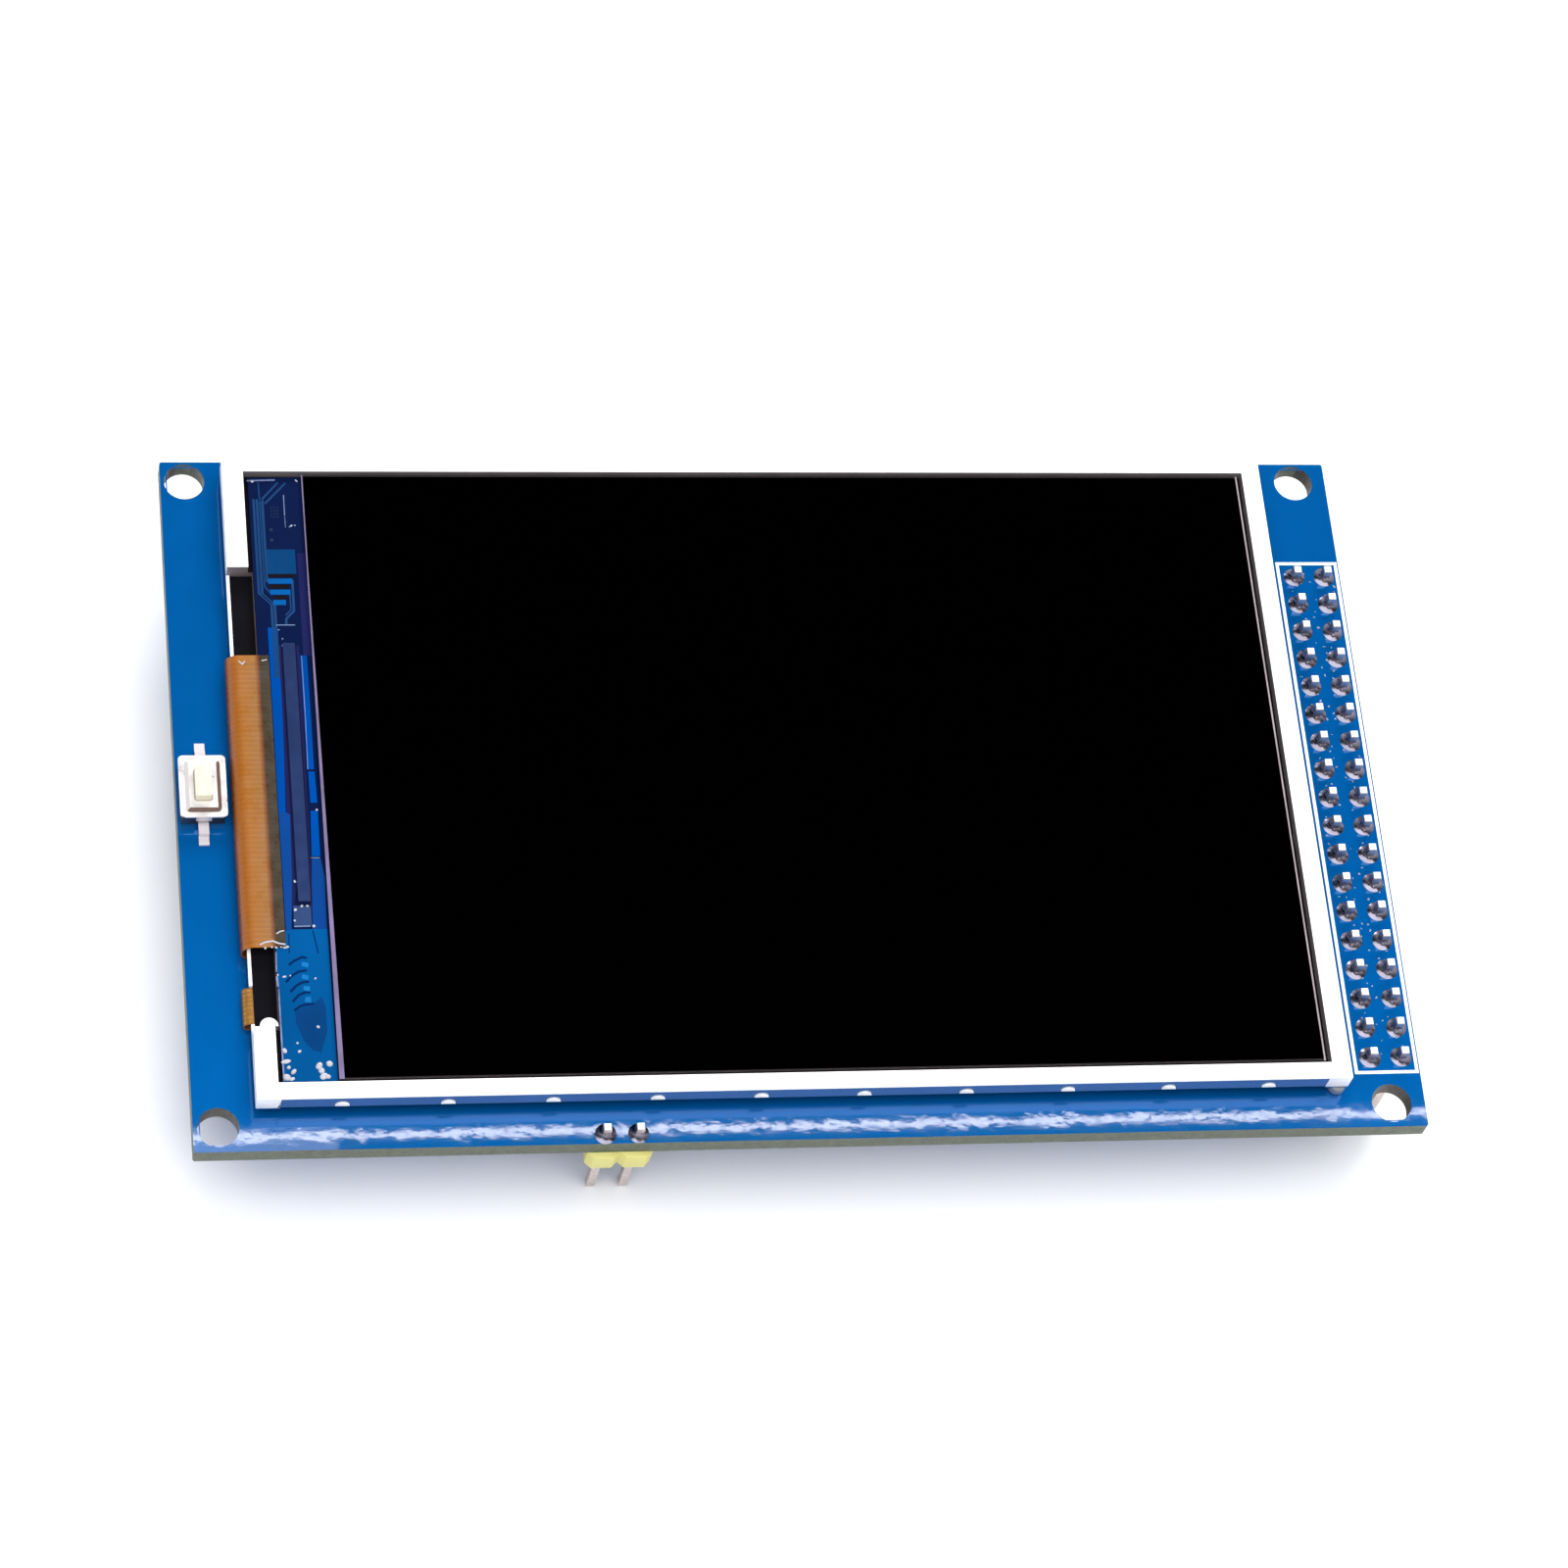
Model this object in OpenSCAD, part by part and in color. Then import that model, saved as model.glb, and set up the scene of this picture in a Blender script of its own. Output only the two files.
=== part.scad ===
// Colour display module: a blue circuit board that carries a liquid-crystal panel in a white
// moulded frame, a double-row pin header at one end, a two-pin header on the front edge, a
// reset switch, and a card socket with its supply and bus parts underneath.
// Origin: centre of the four mounting holes, on the board's underside. +X runs to the header
// end, +Y away from the two-pin header, +Z out of the screen. Millimetres.

/* [Circuit board] */
// Board left of the display
margin_left = 4.68; // [4.5:0.02:6]
// Board right of the display, under the double-row header
margin_right = 6.36; // [6.2:0.02:9]
// Board in front of the display
margin_front = 3.06; // [2.8:0.02:5]
// Board behind the display
margin_back = 1.24; // [1:0.02:4]
// Board thickness
board_t = 1.6; // [1:0.1:2.4]
// Radius of the board's corners
board_corner_r = 0.2; // [0.1:0.1:1.5]
// Radius of the mounting holes
hole_r = 1.6; // [1:0.1:1.7]
// Hole centres from the left edge of the board
hole_inset_left = 1.9; // [1.8:0.1:2.4]
// Hole centres from the right edge of the board
hole_inset_right = 2.7; // [2:0.1:3.4]
// Hole centres from the front edge of the board
hole_inset_front = 2; // [1.8:0.1:2.4]
// Hole centres from the back edge of the board
hole_inset_back = 1.8; // [1.8:0.1:2.4]

/* [Pin headers] */
// Pin spacing
pitch = 2.54; // [2:0.02:2.6]
// From the right edge of the board to the header's centre line
header_inset = 2.62; // [2.6:0.02:3]
// From the front hole's centre to the double-row header
header_gap_front = 2.64; // [2.2:0.02:6]
// Least distance from the double-row header to the back hole's centre
header_gap_back = 7.6; // [2.2:0.1:12]
// Pins in the front header
link_pins = 2; // [1:1:4]
// From the front edge of the board to the front header's pins
link_inset = 0.8; // [0.7:0.05:1.6]
// From the left edge of the board to the middle of the front header
link_x = 32.42; // [24:0.02:60]
// Side of a square pin
pin_w = 0.64; // [0.4:0.02:0.7]
// Length of a pin's tapered tip
pin_tip = 0.35; // [0.1:0.05:0.6]
// Chamfer at a pin's cut upper end
pin_cut = 0.06; // [0.02:0.02:0.15]
// Pin length below the moulded block
pin_drop = 6; // [3:0.1:9]
// Pin length above the board
pin_rise = 1.35; // [1:0.05:2]
// Radius of a plated hole for a pin
pin_hole_r = 0.51; // [0.5:0.01:0.6]
// Height of the moulded block
block_h = 2; // [1.5:0.1:2.6]
// Break-off notch of the moulded block, along each edge
block_notch = 0.48; // [0.2:0.02:0.6]
// Radius of a solder cone at the board
solder_r = 0.85; // [0.75:0.05:1]
// Radius of a solder cone at its top
solder_top_r = 0.52; // [0.5:0.02:0.6]
// Height of a solder cone
solder_h = 0.7; // [0.4:0.05:0.95]

/* [Display] */
// Display length along X
lcd_l = 84.96; // [82:0.04:85.2]
// Display width along Y
lcd_w = 55.5; // [53:0.1:56]
// Thickness of the foam tape under the display
tape_t = 0.85; // [0.7:0.05:1.2]
// Width of a foam tape strip
tape_w = 3; // [2:0.1:4]
// Foam tape set back from the display's edge
tape_back = 0.8; // [0.4:0.1:1.4]
// Radius of the glue dot under the display's corner
glue_r = 0.7; // [0.5:0.05:0.9]
// From the display's right end to the middle of the glue dot
glue_in_x = 0.7; // [0.7:0.05:2]
// From the display's front to the middle of the glue dot
glue_in_y = 0.38; // [0.2:0.02:0.6]
// Width of the frame's front rim
rim_front = 1.35; // [1.3:0.05:1.8]
// Width of the frame's back rim
rim_back = 1.15; // [0.9:0.05:1.4]
// Width of the frame's left rim
rim_left = 1.65; // [1.4:0.05:1.7]
// Width of the frame's right rim
rim_right = 1.5; // [1.3:0.05:1.8]
// Rim height above the front film
rim_over = 0.15; // [0.05:0.05:0.3]
// Width of the ledge that the glass lies on
ledge_w = 0.8; // [0.6:0.05:1]
// Start of the frame's left notch along Y
notch_y0 = 6; // [5.5:0.05:7]
// Length of the frame's left notch
notch_l = 39.65; // [36:0.05:42]
// Thickness of the low wall along the notch
notch_wall = 0.25; // [0.2:0.05:0.4]
// Height of the low wall above the tray
notch_wall_h = 0.3; // [0.2:0.05:0.4]
// Radius of the bead at the notch's front end
notch_bead_r = 0.7; // [0.3:0.05:0.75]
// From the display's left end to the middle of the bead
notch_bead_x = 1.2; // [1:0.05:1.25]
// Snap nubs on each long side
nub_count = 10; // [2:1:10]
// Spacing of the snap nubs
nub_pitch = 8; // [6:0.1:8.4]
// Radius of a snap nub
nub_r = 0.55; // [0.3:0.05:0.6]
// How far a nub stands out of the tray's wall
nub_out = 0.08; // [0.04:0.01:0.12]
// Nub centre height above the tray's underside
nub_z = 0.45; // [0.4:0.05:0.6]

/* [Tray and light unit] */
// Thickness of the steel tray
tray_t = 0.15; // [0.1:0.01:0.2]
// Outer bend radius of the tray
tray_bend_r = 0.3; // [0.25:0.05:0.35]
// Length of each corner block left free by the tray's walls
corner_block = 1.85; // [1.6:0.05:2.4]
// Slant of the left corner blocks' inner sides, over their height
block_slant = 0.25; // [0.1:0.05:0.4]
// Plastic lip above the tray's walls
lip_h = 0.18; // [0.12:0.02:0.3]
// Thickness of the reflector film
reflector_t = 0.05; // [0.03:0.01:0.08]
// Thickness of the light guide
guide_t = 0.5; // [0.4:0.05:0.7]
// Thickness of the diffuser film
diffuser_t = 0.06; // [0.04:0.01:0.1]
// Thickness of the prism film
prism_t = 0.09; // [0.06:0.01:0.12]
// Gap between the light unit's films and the frame
film_gap = 0.15; // [0.1:0.05:0.3]
// Lamps in the light unit
lamp_count = 6; // [2:1:8]
// Lamp length along Y
lamp_l = 3.8; // [2:0.1:4]
// Lamp depth along X
lamp_d = 0.8; // [0.6:0.05:1]
// Lamp height
lamp_h = 0.45; // [0.3:0.01:0.5]
// Thickness of the lamp flex
lamp_flex_t = 0.1; // [0.06:0.01:0.12]
// Width of the lamp flex tail
tail_w = 3; // [2:0.05:3.5]
// From the notch's front end to the lamp flex tail
tail_in = 0.9; // [0.2:0.05:1.2]

/* [Panel] */
// Thickness of each polarising film
polar_t = 0.1; // [0.08:0.01:0.14]
// Thickness of the black rim tape
rim_tape_t = 0.05; // [0.03:0.01:0.07]
// Thickness of each glass plate
glass_t = 0.3; // [0.2:0.05:0.4]
// From the display's left end to the rear glass
glass_x = 2.05; // [1.9:0.05:2.2]
// Bare ledge of the rear glass, left of the front glass
glass_ledge = 4.2; // [4.1:0.1:4.6]
// Gap between the glass and the front rim
glass_gap_front = 0.25; // [0.05:0.05:0.3]
// Gap between the glass and the back rim
glass_gap_back = 0.25; // [0.2:0.05:0.5]
// Gap between the glass and the right rim
glass_gap_right = 0.4; // [0.2:0.05:0.5]
// Front film set back from the front glass
polar_back = 0.16; // [0.04:0.02:0.4]
// Driver chip length along Y
chip_l = 22.4; // [16:0.1:24]
// Driver chip width along X
chip_w = 0.95; // [0.8:0.05:1.2]
// Driver chip height
chip_h = 0.28; // [0.2:0.02:0.4]
// Driver chip from the rear glass's left edge
chip_x = 1.95; // [1.5:0.05:2.2]
// Driver chip's middle along Y, from the display's front
chip_y = 27.75; // [24:0.05:30]

/* [Panel flex] */
// Flex width along Y
flex_w = 25.2; // [20:0.1:26]
// Flex middle along Y, from the display's front
flex_y = 25.4; // [24:0.1:27]
// Flex thickness
flex_t = 0.1; // [0.08:0.01:0.14]
// Bonded width on the rear glass
flex_bond = 0.82; // [0.7:0.02:1.2]
// How far the fold stands out past the display's left end
flex_out = 0.49; // [0.3:0.01:0.8]
// Reach of the lower run under the display
flex_reach = 7.5; // [5:0.1:12]
// Solder pads of the flex
flex_pads = 30; // [10:1:36]
// Spacing of the flex's solder pads
flex_pad_pitch = 0.8; // [0.5:0.01:0.82]

/* [Reset switch] */
// Switch middle from the left edge of the board
switch_x = 1.98; // [1.94:0.02:2.2]
// Switch middle along Y
switch_y = 0; // [-10:0.5:10]
// Width of the switch's base
base_w = 3.3; // [3.1:0.05:3.7]
// Length of the switch's base
base_l = 5; // [4.8:0.05:5.4]
// Height of the switch's base
base_h = 1.35; // [1.2:0.05:1.8]
// Cover overhang past the base
cover_over = 0.17; // [0.05:0.01:0.2]
// Thickness of the cover's sheet
cover_t = 0.15; // [0.1:0.01:0.2]
// Width of the cover's raised panel
raised_w = 2.75; // [2.5:0.05:2.9]
// Length of the cover's raised panel
raised_l = 4.5; // [4.3:0.05:4.7]
// Height of the raised panel's step
raised_h = 0.22; // [0.1:0.01:0.25]
// Run of the raised panel's sloping sides
raised_slope = 0.3; // [0.1:0.05:0.35]
// Width of the cover's end tabs
tab_w = 1.2; // [0.8:0.05:1.6]
// Plunger width
plunger_w = 1.3; // [1:0.05:1.4]
// Plunger length
plunger_l = 2.65; // [2.4:0.05:3.4]
// Plunger top above the board
plunger_top = 2.5; // [2.2:0.05:3.5]
// Gap around the plunger in the cover's slot
plunger_gap = 0.06; // [0.04:0.01:0.1]
// Plunger travel
plunger_travel = 0.25; // [0.1:0.01:0.3]
// Flange that holds the plunger under the cover, past its sides
flange_out = 0.2; // [0.16:0.02:0.24]
// Thickness of the flange
flange_t = 0.22; // [0.15:0.01:0.25]
// Radius of the contact dome
dome_r = 1.4; // [1.2:0.05:1.5]
// Thickness of the contact dome
dome_t = 0.06; // [0.04:0.01:0.1]
// Length of a terminal past the base
terminal_l = 1.9; // [1.5:0.05:2.2]
// Width of a terminal
terminal_w = 0.8; // [0.6:0.05:1.2]
// Thickness of a terminal
terminal_t = 0.15; // [0.1:0.01:0.2]
// Length of a terminal's flat foot
terminal_foot = 0.75; // [0.5:0.05:1]
// Height at which a terminal leaves the base
terminal_z = 0.3; // [0.2:0.05:0.4]

/* [Card socket] */
// Socket length along X
socket_l = 27; // [25:0.5:29]
// Socket width along Y
socket_w = 28; // [27:0.5:30]
// Socket height
socket_h = 2.9; // [2.6:0.1:3.4]
// Socket mouth from the board's left edge
socket_inset = 1.5; // [1:0.1:6]
// Socket middle along Y
socket_y = 2; // [-6:0.5:6]
// Card slot width
slot_w = 24.3; // [24.1:0.05:24.6]
// Card slot height
slot_h = 2.25; // [2.15:0.05:2.4]
// Card slot depth
slot_d = 23; // [20:0.5:24]
// Thickness of the socket's steel shell
shell_t = 0.2; // [0.15:0.01:0.25]
// Spring contacts in the socket
contact_count = 9; // [4:1:9]
// Width of a spring contact
contact_w = 0.8; // [0.5:0.05:1]
// Spacing of the spring contacts
contact_pitch = 2.5; // [2:0.05:2.55]
// First spring contact from the slot's side
contact_inset = 1.9; // [1:0.1:2.4]
// Reach of a spring contact into the slot
contact_reach = 8; // [5:0.5:12]
// Length of a contact's foot behind the socket
contact_foot = 1.2; // [0.8:0.1:1.6]
// Length of a contact's bent tip
contact_tip = 1.6; // [1:0.1:2.5]
// Thickness of a contact
contact_t = 0.15; // [0.1:0.01:0.2]
// Radius of the thumb cut-out at the socket's mouth
thumb_r = 5; // [3:0.5:8]
// Length of the shell's two spring slits
slit_l = 8; // [4:0.5:10]
// Width of a spring slit
slit_w = 1.2; // [0.5:0.1:2]
// Distance between the spring slits
slit_gap = 12; // [8:0.5:16]

/* [Underside parts] */
// Bus buffer packages
buffer_count = 2; // [1:1:2]
// Buffers' middle from the double-row header's centre line
buffer_from_header = 23.8; // [16:0.2:26]
// Distance between the buffers
buffer_gap = 14; // [9:0.5:15]
// Buffer body length along Y
buffer_l = 6.5; // [6.2:0.1:7.8]
// Buffer body width along X
buffer_w = 4.4; // [3.9:0.1:5]
// Buffer body height
buffer_h = 1; // [0.8:0.05:1.2]
// Leads on each side of a buffer
buffer_leads_n = 10; // [4:1:10]
// Spacing of a buffer's leads
buffer_pitch = 0.65; // [0.5:0.05:0.66]
// Regulator's middle behind the card socket
reg_from_socket = 21; // [14:0.5:22]
// Regulator's middle from the board's front edge
reg_from_front = 8; // [5:0.5:9]
// Regulator body length along Y
reg_l = 6.5; // [6.2:0.1:7]
// Regulator body width along X
reg_w = 3.5; // [3.2:0.1:4]
// Regulator body height
reg_h = 1.6; // [1.4:0.05:1.8]
// Capacitors' middles from those of the parts beside them
cap_from_part = 8; // [7:0.1:9]
// Chip capacitor length
cap_l = 2; // [1.6:0.1:2.2]
// Chip capacitor width
cap_w = 1.25; // [0.8:0.05:1.4]
// Chip capacitor height
cap_h = 0.9; // [0.6:0.05:1.2]
// Chip resistors in the row beside the double-row header
res_count = 8; // [1:1:12]
// Spacing of the chip resistors
res_pitch = 3; // [1.5:0.1:3.2]
// Chip resistors' middle from the double-row header's centre line
res_from_header = 9.8; // [5:0.1:11]
// Chip resistor length
res_l = 1.6; // [1:0.1:1.8]
// Chip resistor width
res_w = 0.8; // [0.5:0.05:1]
// Chip resistor height
res_h = 0.45; // [0.3:0.05:0.6]

/* [Hidden] */
$fn = 48;

// Clearance between faces that seat against each other
fit = 0.02;
// Overlap of cutting shapes past the face they cut
cut = 0.5;

// Board outline, from the display and the margins round it
board_l = margin_left + lcd_l + margin_right;
board_w = margin_front + lcd_w + margin_back;
hole_dx = board_l - hole_inset_left - hole_inset_right;
hole_dy = board_w - hole_inset_front - hole_inset_back;
board_x0 = -hole_dx / 2 - hole_inset_left;
board_x1 = board_x0 + board_l;
board_y0 = -hole_dy / 2 - hole_inset_front;

// Header places: as many pairs as fit between the holes
header_cols = 2;
header_rows = floor((hole_dy - header_gap_front - header_gap_back) / pitch);
header_x = board_x1 - header_inset;
header_y = -hole_dy / 2 + header_gap_front + header_rows * pitch / 2;
link_cx = board_x0 + link_x;
link_cy = board_y0 + link_inset;

// Display: corner of its steel tray, on the foam tape
lcd_at = [board_x0 + margin_left, board_y0 + margin_front, board_t + tape_t];

// Heights in the display, from the tray's underside
reflector_z = tray_t;
guide_z = reflector_z + reflector_t;
diffuser_z = guide_z + guide_t;
prism_z = diffuser_z + diffuser_t;
rear_polar_z = prism_z + prism_t;
rear_glass_z = rear_polar_z + polar_t;
ledge_z = rear_glass_z - rim_tape_t;
front_glass_z = rear_glass_z + glass_t;
front_polar_z = front_glass_z + glass_t;
rim_z = front_polar_z + polar_t + rim_over;
wall_z = rim_z - lip_h;
lamp_z = tray_t + lamp_flex_t;

// Plan sizes in the display, from its front left corner
wall_x0 = corner_block;
wall_x1 = lcd_l - corner_block;
rib_x = glass_x;
rib_w = 0.7;
lamp_x = rib_x + rib_w + 0.05;
guide_x = lamp_x + lamp_d + 0.1;
cavity_x1 = lcd_l - rim_right - ledge_w;
cavity_y0 = rim_front + ledge_w;
cavity_y1 = lcd_w - rim_back - ledge_w;
film_x0 = guide_x + film_gap;
film_x1 = cavity_x1 - film_gap;
film_y0 = cavity_y0 + film_gap;
film_y1 = cavity_y1 - film_gap;
glass_x1 = lcd_l - rim_right - glass_gap_right;
glass_y0 = rim_front + glass_gap_front;
glass_y1 = lcd_w - rim_back - glass_gap_back;
front_glass_x = glass_x + glass_ledge;

// Fold of the panel flex: its two runs and the half round between them
flex_pad_t = 0.04;
flex_top_z = front_glass_z;
flex_low_z = -tape_t + flex_pad_t;
flex_fold_r = (flex_top_z + flex_t - flex_low_z) / 2;
flex_fold_x = flex_fold_r - flex_out;
flex_end_x = glass_x + flex_bond;

// Fold of the lamp flex tail
tail_y = notch_y0 + tail_in;
tail_fold_r = (tray_t + lamp_flex_t + tape_t) / 2;
tail_fold_x = min(0, tail_fold_r - flex_out);
tail_reach = 3;
tail_gap = 0.1;
lamp_flex_x = notch_wall + fit;

// Switch
switch_at = [board_x0 + switch_x, switch_y, board_t];
cover_w = base_w + 2 * cover_over;
cover_l = base_l + 2 * cover_over;
cover_top = base_h + cover_t;
raised_top = cover_top + raised_h;
slot_corner_r = 0.2;
panel_corner_r = 0.4;
flange_top = cover_top + raised_h - cover_t - fit;
flange_z = flange_top - flange_t;
well_z = 0.45;
dome_h = flange_z - well_z - fit;
dome_ball_r = (dome_r * dome_r + dome_h * dome_h) / (2 * dome_h);

// Card socket
socket_x = board_x0 + socket_inset;
contact_y0 = socket_y - slot_w / 2 + contact_inset;
contact_play = 0.1;

// Underside parts
buffer_x = header_x - buffer_from_header;
buffer_y = buffer_gap / 2;
lead_t = 0.15;
lead_out = 1;
lead_w = 0.24;
standoff = 0.1;
reg_x = socket_x + socket_l + reg_from_socket;
reg_y = board_y0 + reg_from_front;
reg_pitch = 2.3;
reg_lead_w = 0.7;
reg_tab_w = 3;
reg_lead_out = 1.6;
cap_step = 2 * cap_w;
cap_places = concat(
    [for (side = [-1, 1], k = [-1, 1]) [reg_x + side * cap_from_part, reg_y + k * cap_step / 2]],
    [for (i = [0:buffer_count - 1]) [buffer_x - cap_from_part, buffer_y - i * buffer_gap]]);
res_x = header_x - res_from_header;
res_y = buffer_y - (buffer_count - 1) * buffer_gap / 2;

// Rounded rectangle with its corner at the origin
module rounded_plate(l, w, r) {
    translate([r, 0]) square([l - 2 * r, w]);
    translate([0, r]) square([l, w - 2 * r]);
    for (x = [r, l - r], y = [r, w - r]) translate([x, y]) circle(r = r);
}

// The same, centred
module rounded_centre(l, w, r) {
    translate([-l / 2, -w / 2]) rounded_plate(l, w, r);
}

module at_lcd() {
    translate(lcd_at) children();
}

module at_switch() {
    translate(switch_at) children();
}

// Places of the header's pins
module at_header() {
    for (c = [0:header_cols - 1], r = [0:header_rows - 1])
        translate([header_x + (c - (header_cols - 1) / 2) * pitch,
            header_y + (r - (header_rows - 1) / 2) * pitch, 0]) children();
}

module at_link() {
    for (i = [0:link_pins - 1])
        translate([link_cx + (i - (link_pins - 1) / 2) * pitch, link_cy, 0]) children();
}

// Moulded block of a header: a strip with a break-off notch at each pitch
module header_strip(cols, rows) {
    half = cols * pitch / 2;
    low = [for (i = [0:rows - 1]) (i - rows / 2) * pitch];
    side = [for (i = [0:rows - 1], k = [0:2])
        [k == 0 ? half - block_notch : half,
            low[i] + (k == 0 ? 0 : k == 1 ? block_notch : pitch - block_notch)]];
    top = [half - block_notch, rows * pitch / 2];
    right = concat(side, [top]);
    left = [for (i = [len(right) - 1:-1:0]) [-right[i][0], right[i][1]]];
    polygon(concat(right, left));
}

// Side view of a pin: tapered to its tip, and cut off square above the board
module pin_side(low, high) {
    h = pin_w / 2;
    tip = h / 2;
    top = h - pin_cut;
    polygon([[-tip, low], [tip, low], [h, low + pin_tip], [h, high - pin_cut],
        [top, high], [-top, high], [-h, high - pin_cut], [-h, low + pin_tip]]);
}

module pin() {
    low = -block_h - pin_drop;
    high = board_t + pin_rise;
    intersection() {
        rotate([90, 0, 0]) linear_extrude(pin_w, center = true) pin_side(low, high);
        rotate([90, 0, 90]) linear_extrude(pin_w, center = true) pin_side(low, high);
    }
}

module pin_square(gap) {
    square(pin_w + 2 * gap, center = true);
}

module solder_cone() {
    difference() {
        translate([0, 0, board_t]) cylinder(r1 = solder_r, r2 = solder_top_r, h = solder_h);
        translate([0, 0, board_t - cut]) linear_extrude(solder_h + 2 * cut) pin_square(0);
    }
}

// Side view of a ribbon that folds back under itself: a half round between two straight runs
module fold_side(x_top, x_low, z_low, r, x_fold, t) {
    translate([x_fold, z_low + 2 * r - t]) square([x_top - x_fold, t]);
    translate([x_fold, z_low]) square([x_low - x_fold, t]);
    translate([x_fold, z_low + r]) difference() {
        circle(r = r);
        circle(r = r - t);
        translate([0, -r - cut]) square([r + cut, 2 * (r + cut)]);
    }
}

// Side view of a lead that leaves a body sideways and steps down to the board
module lead_side(body_half, out, h) {
    mid = standoff + h / 2;
    knee = body_half + 0.25;
    translate([body_half, mid - lead_t / 2]) square([knee + lead_t - body_half, lead_t]);
    translate([knee, 0]) square([lead_t, mid + lead_t / 2]);
    translate([knee, 0]) square([body_half + out - knee, lead_t]);
}

module circuit_board() {
    color([0.02, 0.36, 0.68]) difference() {
        translate([board_x0, board_y0, 0]) linear_extrude(board_t)
            rounded_plate(board_l, board_w, board_corner_r);
        for (x = [-hole_dx / 2, hole_dx / 2], y = [-hole_dy / 2, hole_dy / 2])
            translate([x, y, -cut]) cylinder(r = hole_r, h = board_t + 2 * cut);
        at_header() translate([0, 0, -cut]) cylinder(r = pin_hole_r, h = board_t + 2 * cut);
        at_link() translate([0, 0, -cut]) cylinder(r = pin_hole_r, h = board_t + 2 * cut);
    }
}

module header_block() {
    color([0.87, 0.84, 0.4]) difference() {
        translate([header_x, header_y, -block_h]) linear_extrude(block_h)
            header_strip(header_cols, header_rows);
        at_header() translate([0, 0, -block_h - cut]) linear_extrude(block_h + 2 * cut)
            pin_square(0);
    }
}

module header_pins() {
    color([0.8, 0.78, 0.74]) at_header() pin();
}

module link_header_block() {
    color([0.87, 0.84, 0.4]) difference() {
        translate([link_cx, link_cy, -block_h]) rotate([0, 0, 90]) linear_extrude(block_h)
            header_strip(1, link_pins);
        at_link() translate([0, 0, -block_h - cut]) linear_extrude(block_h + 2 * cut)
            pin_square(0);
    }
}

module link_header_pins() {
    color([0.8, 0.78, 0.74]) at_link() pin();
}

module solder_joints() {
    color([0.72, 0.73, 0.76]) {
        at_header() solder_cone();
        at_link() solder_cone();
    }
}

// Two long strips and one at the header end, clear of both flexes and of the glue dot
module foam_tape() {
    strip_gap = 0.3;
    long_x0 = flex_reach + 2;
    long_l = lcd_l - glue_in_x - glue_r - strip_gap - long_x0;
    end_l = lcd_w - 2 * (tape_back + tape_w + strip_gap);
    color([0.16, 0.16, 0.18]) translate([lcd_at[0], lcd_at[1], board_t]) {
        translate([long_x0, tape_back, 0]) cube([long_l, tape_w, tape_t]);
        translate([long_x0, lcd_w - tape_back - tape_w, 0]) cube([long_l, tape_w, tape_t]);
        translate([lcd_l - tape_back - tape_w, (lcd_w - end_l) / 2, 0])
            cube([tape_w, end_l, tape_t]);
    }
}

// Folded wall of the tray, standing at y = 0, along X, with its bend
module tray_wall(l) {
    rotate([90, 0, 90]) linear_extrude(l) {
        translate([0, tray_bend_r]) square([tray_t, wall_z - tray_bend_r]);
        translate([tray_bend_r, tray_bend_r]) intersection() {
            difference() {
                circle(r = tray_bend_r);
                circle(r = tray_bend_r - tray_t);
            }
            translate([-tray_bend_r, -tray_bend_r]) square(tray_bend_r);
        }
    }
}

// Half-round snap nub through the wall at y = 0, grown by a gap for its window
module nub_row(gap, out) {
    for (i = [0:nub_count - 1])
        translate([lcd_l / 2 + (i - (nub_count - 1) / 2) * nub_pitch, tray_t + cut, nub_z])
            rotate([90, 0, 0]) linear_extrude(tray_t + cut + out) intersection() {
                circle(r = nub_r + gap);
                translate([-nub_r - gap, -gap]) square([2 * (nub_r + gap), nub_r + 2 * gap]);
            }
}

// The same row on both long sides
module nub_rows(gap, out) {
    nub_row(gap, out);
    translate([0, lcd_w, 0]) mirror([0, 1, 0]) nub_row(gap, out);
}

module steel_tray() {
    wall_l = wall_x1 - wall_x0;
    end_y0 = corner_block;
    end_l = lcd_w - 2 * corner_block;
    color([0.55, 0.58, 0.62]) at_lcd() difference() {
        union() {
            difference() {
                cube([lcd_l, lcd_w, tray_t]);
                for (y = [-cut, lcd_w - tray_bend_r])
                    translate([wall_x0, y, -cut])
                        cube([wall_l, tray_bend_r + cut, tray_t + 2 * cut]);
                translate([lcd_l - tray_bend_r, end_y0, -cut])
                    cube([tray_bend_r + cut, end_l, tray_t + 2 * cut]);
            }
            translate([wall_x0, 0, 0]) tray_wall(wall_l);
            translate([wall_x0, lcd_w, 0]) mirror([0, 1, 0]) tray_wall(wall_l);
            translate([lcd_l, end_y0, 0]) rotate([0, 0, 90]) tray_wall(end_l);
        }
        nub_rows(fit, cut);
    }
}

// Room for one tray wall, cut from the frame's outside
module wall_room(l) {
    translate([-fit, -cut, 0]) cube([l + 2 * fit, tray_t + fit + cut, wall_z + fit]);
    translate([-fit, -cut, 0]) cube([l + 2 * fit, tray_bend_r + cut, tray_bend_r + fit]);
}

// Wedge that slants the inner side of the front left corner block
module block_slope() {
    translate([wall_x0, tray_t + fit, 0]) rotate([90, 0, 0]) linear_extrude(tray_t + fit + cut)
        polygon([[-block_slant, 0], [0, 0], [0, wall_z]]);
}

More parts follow.
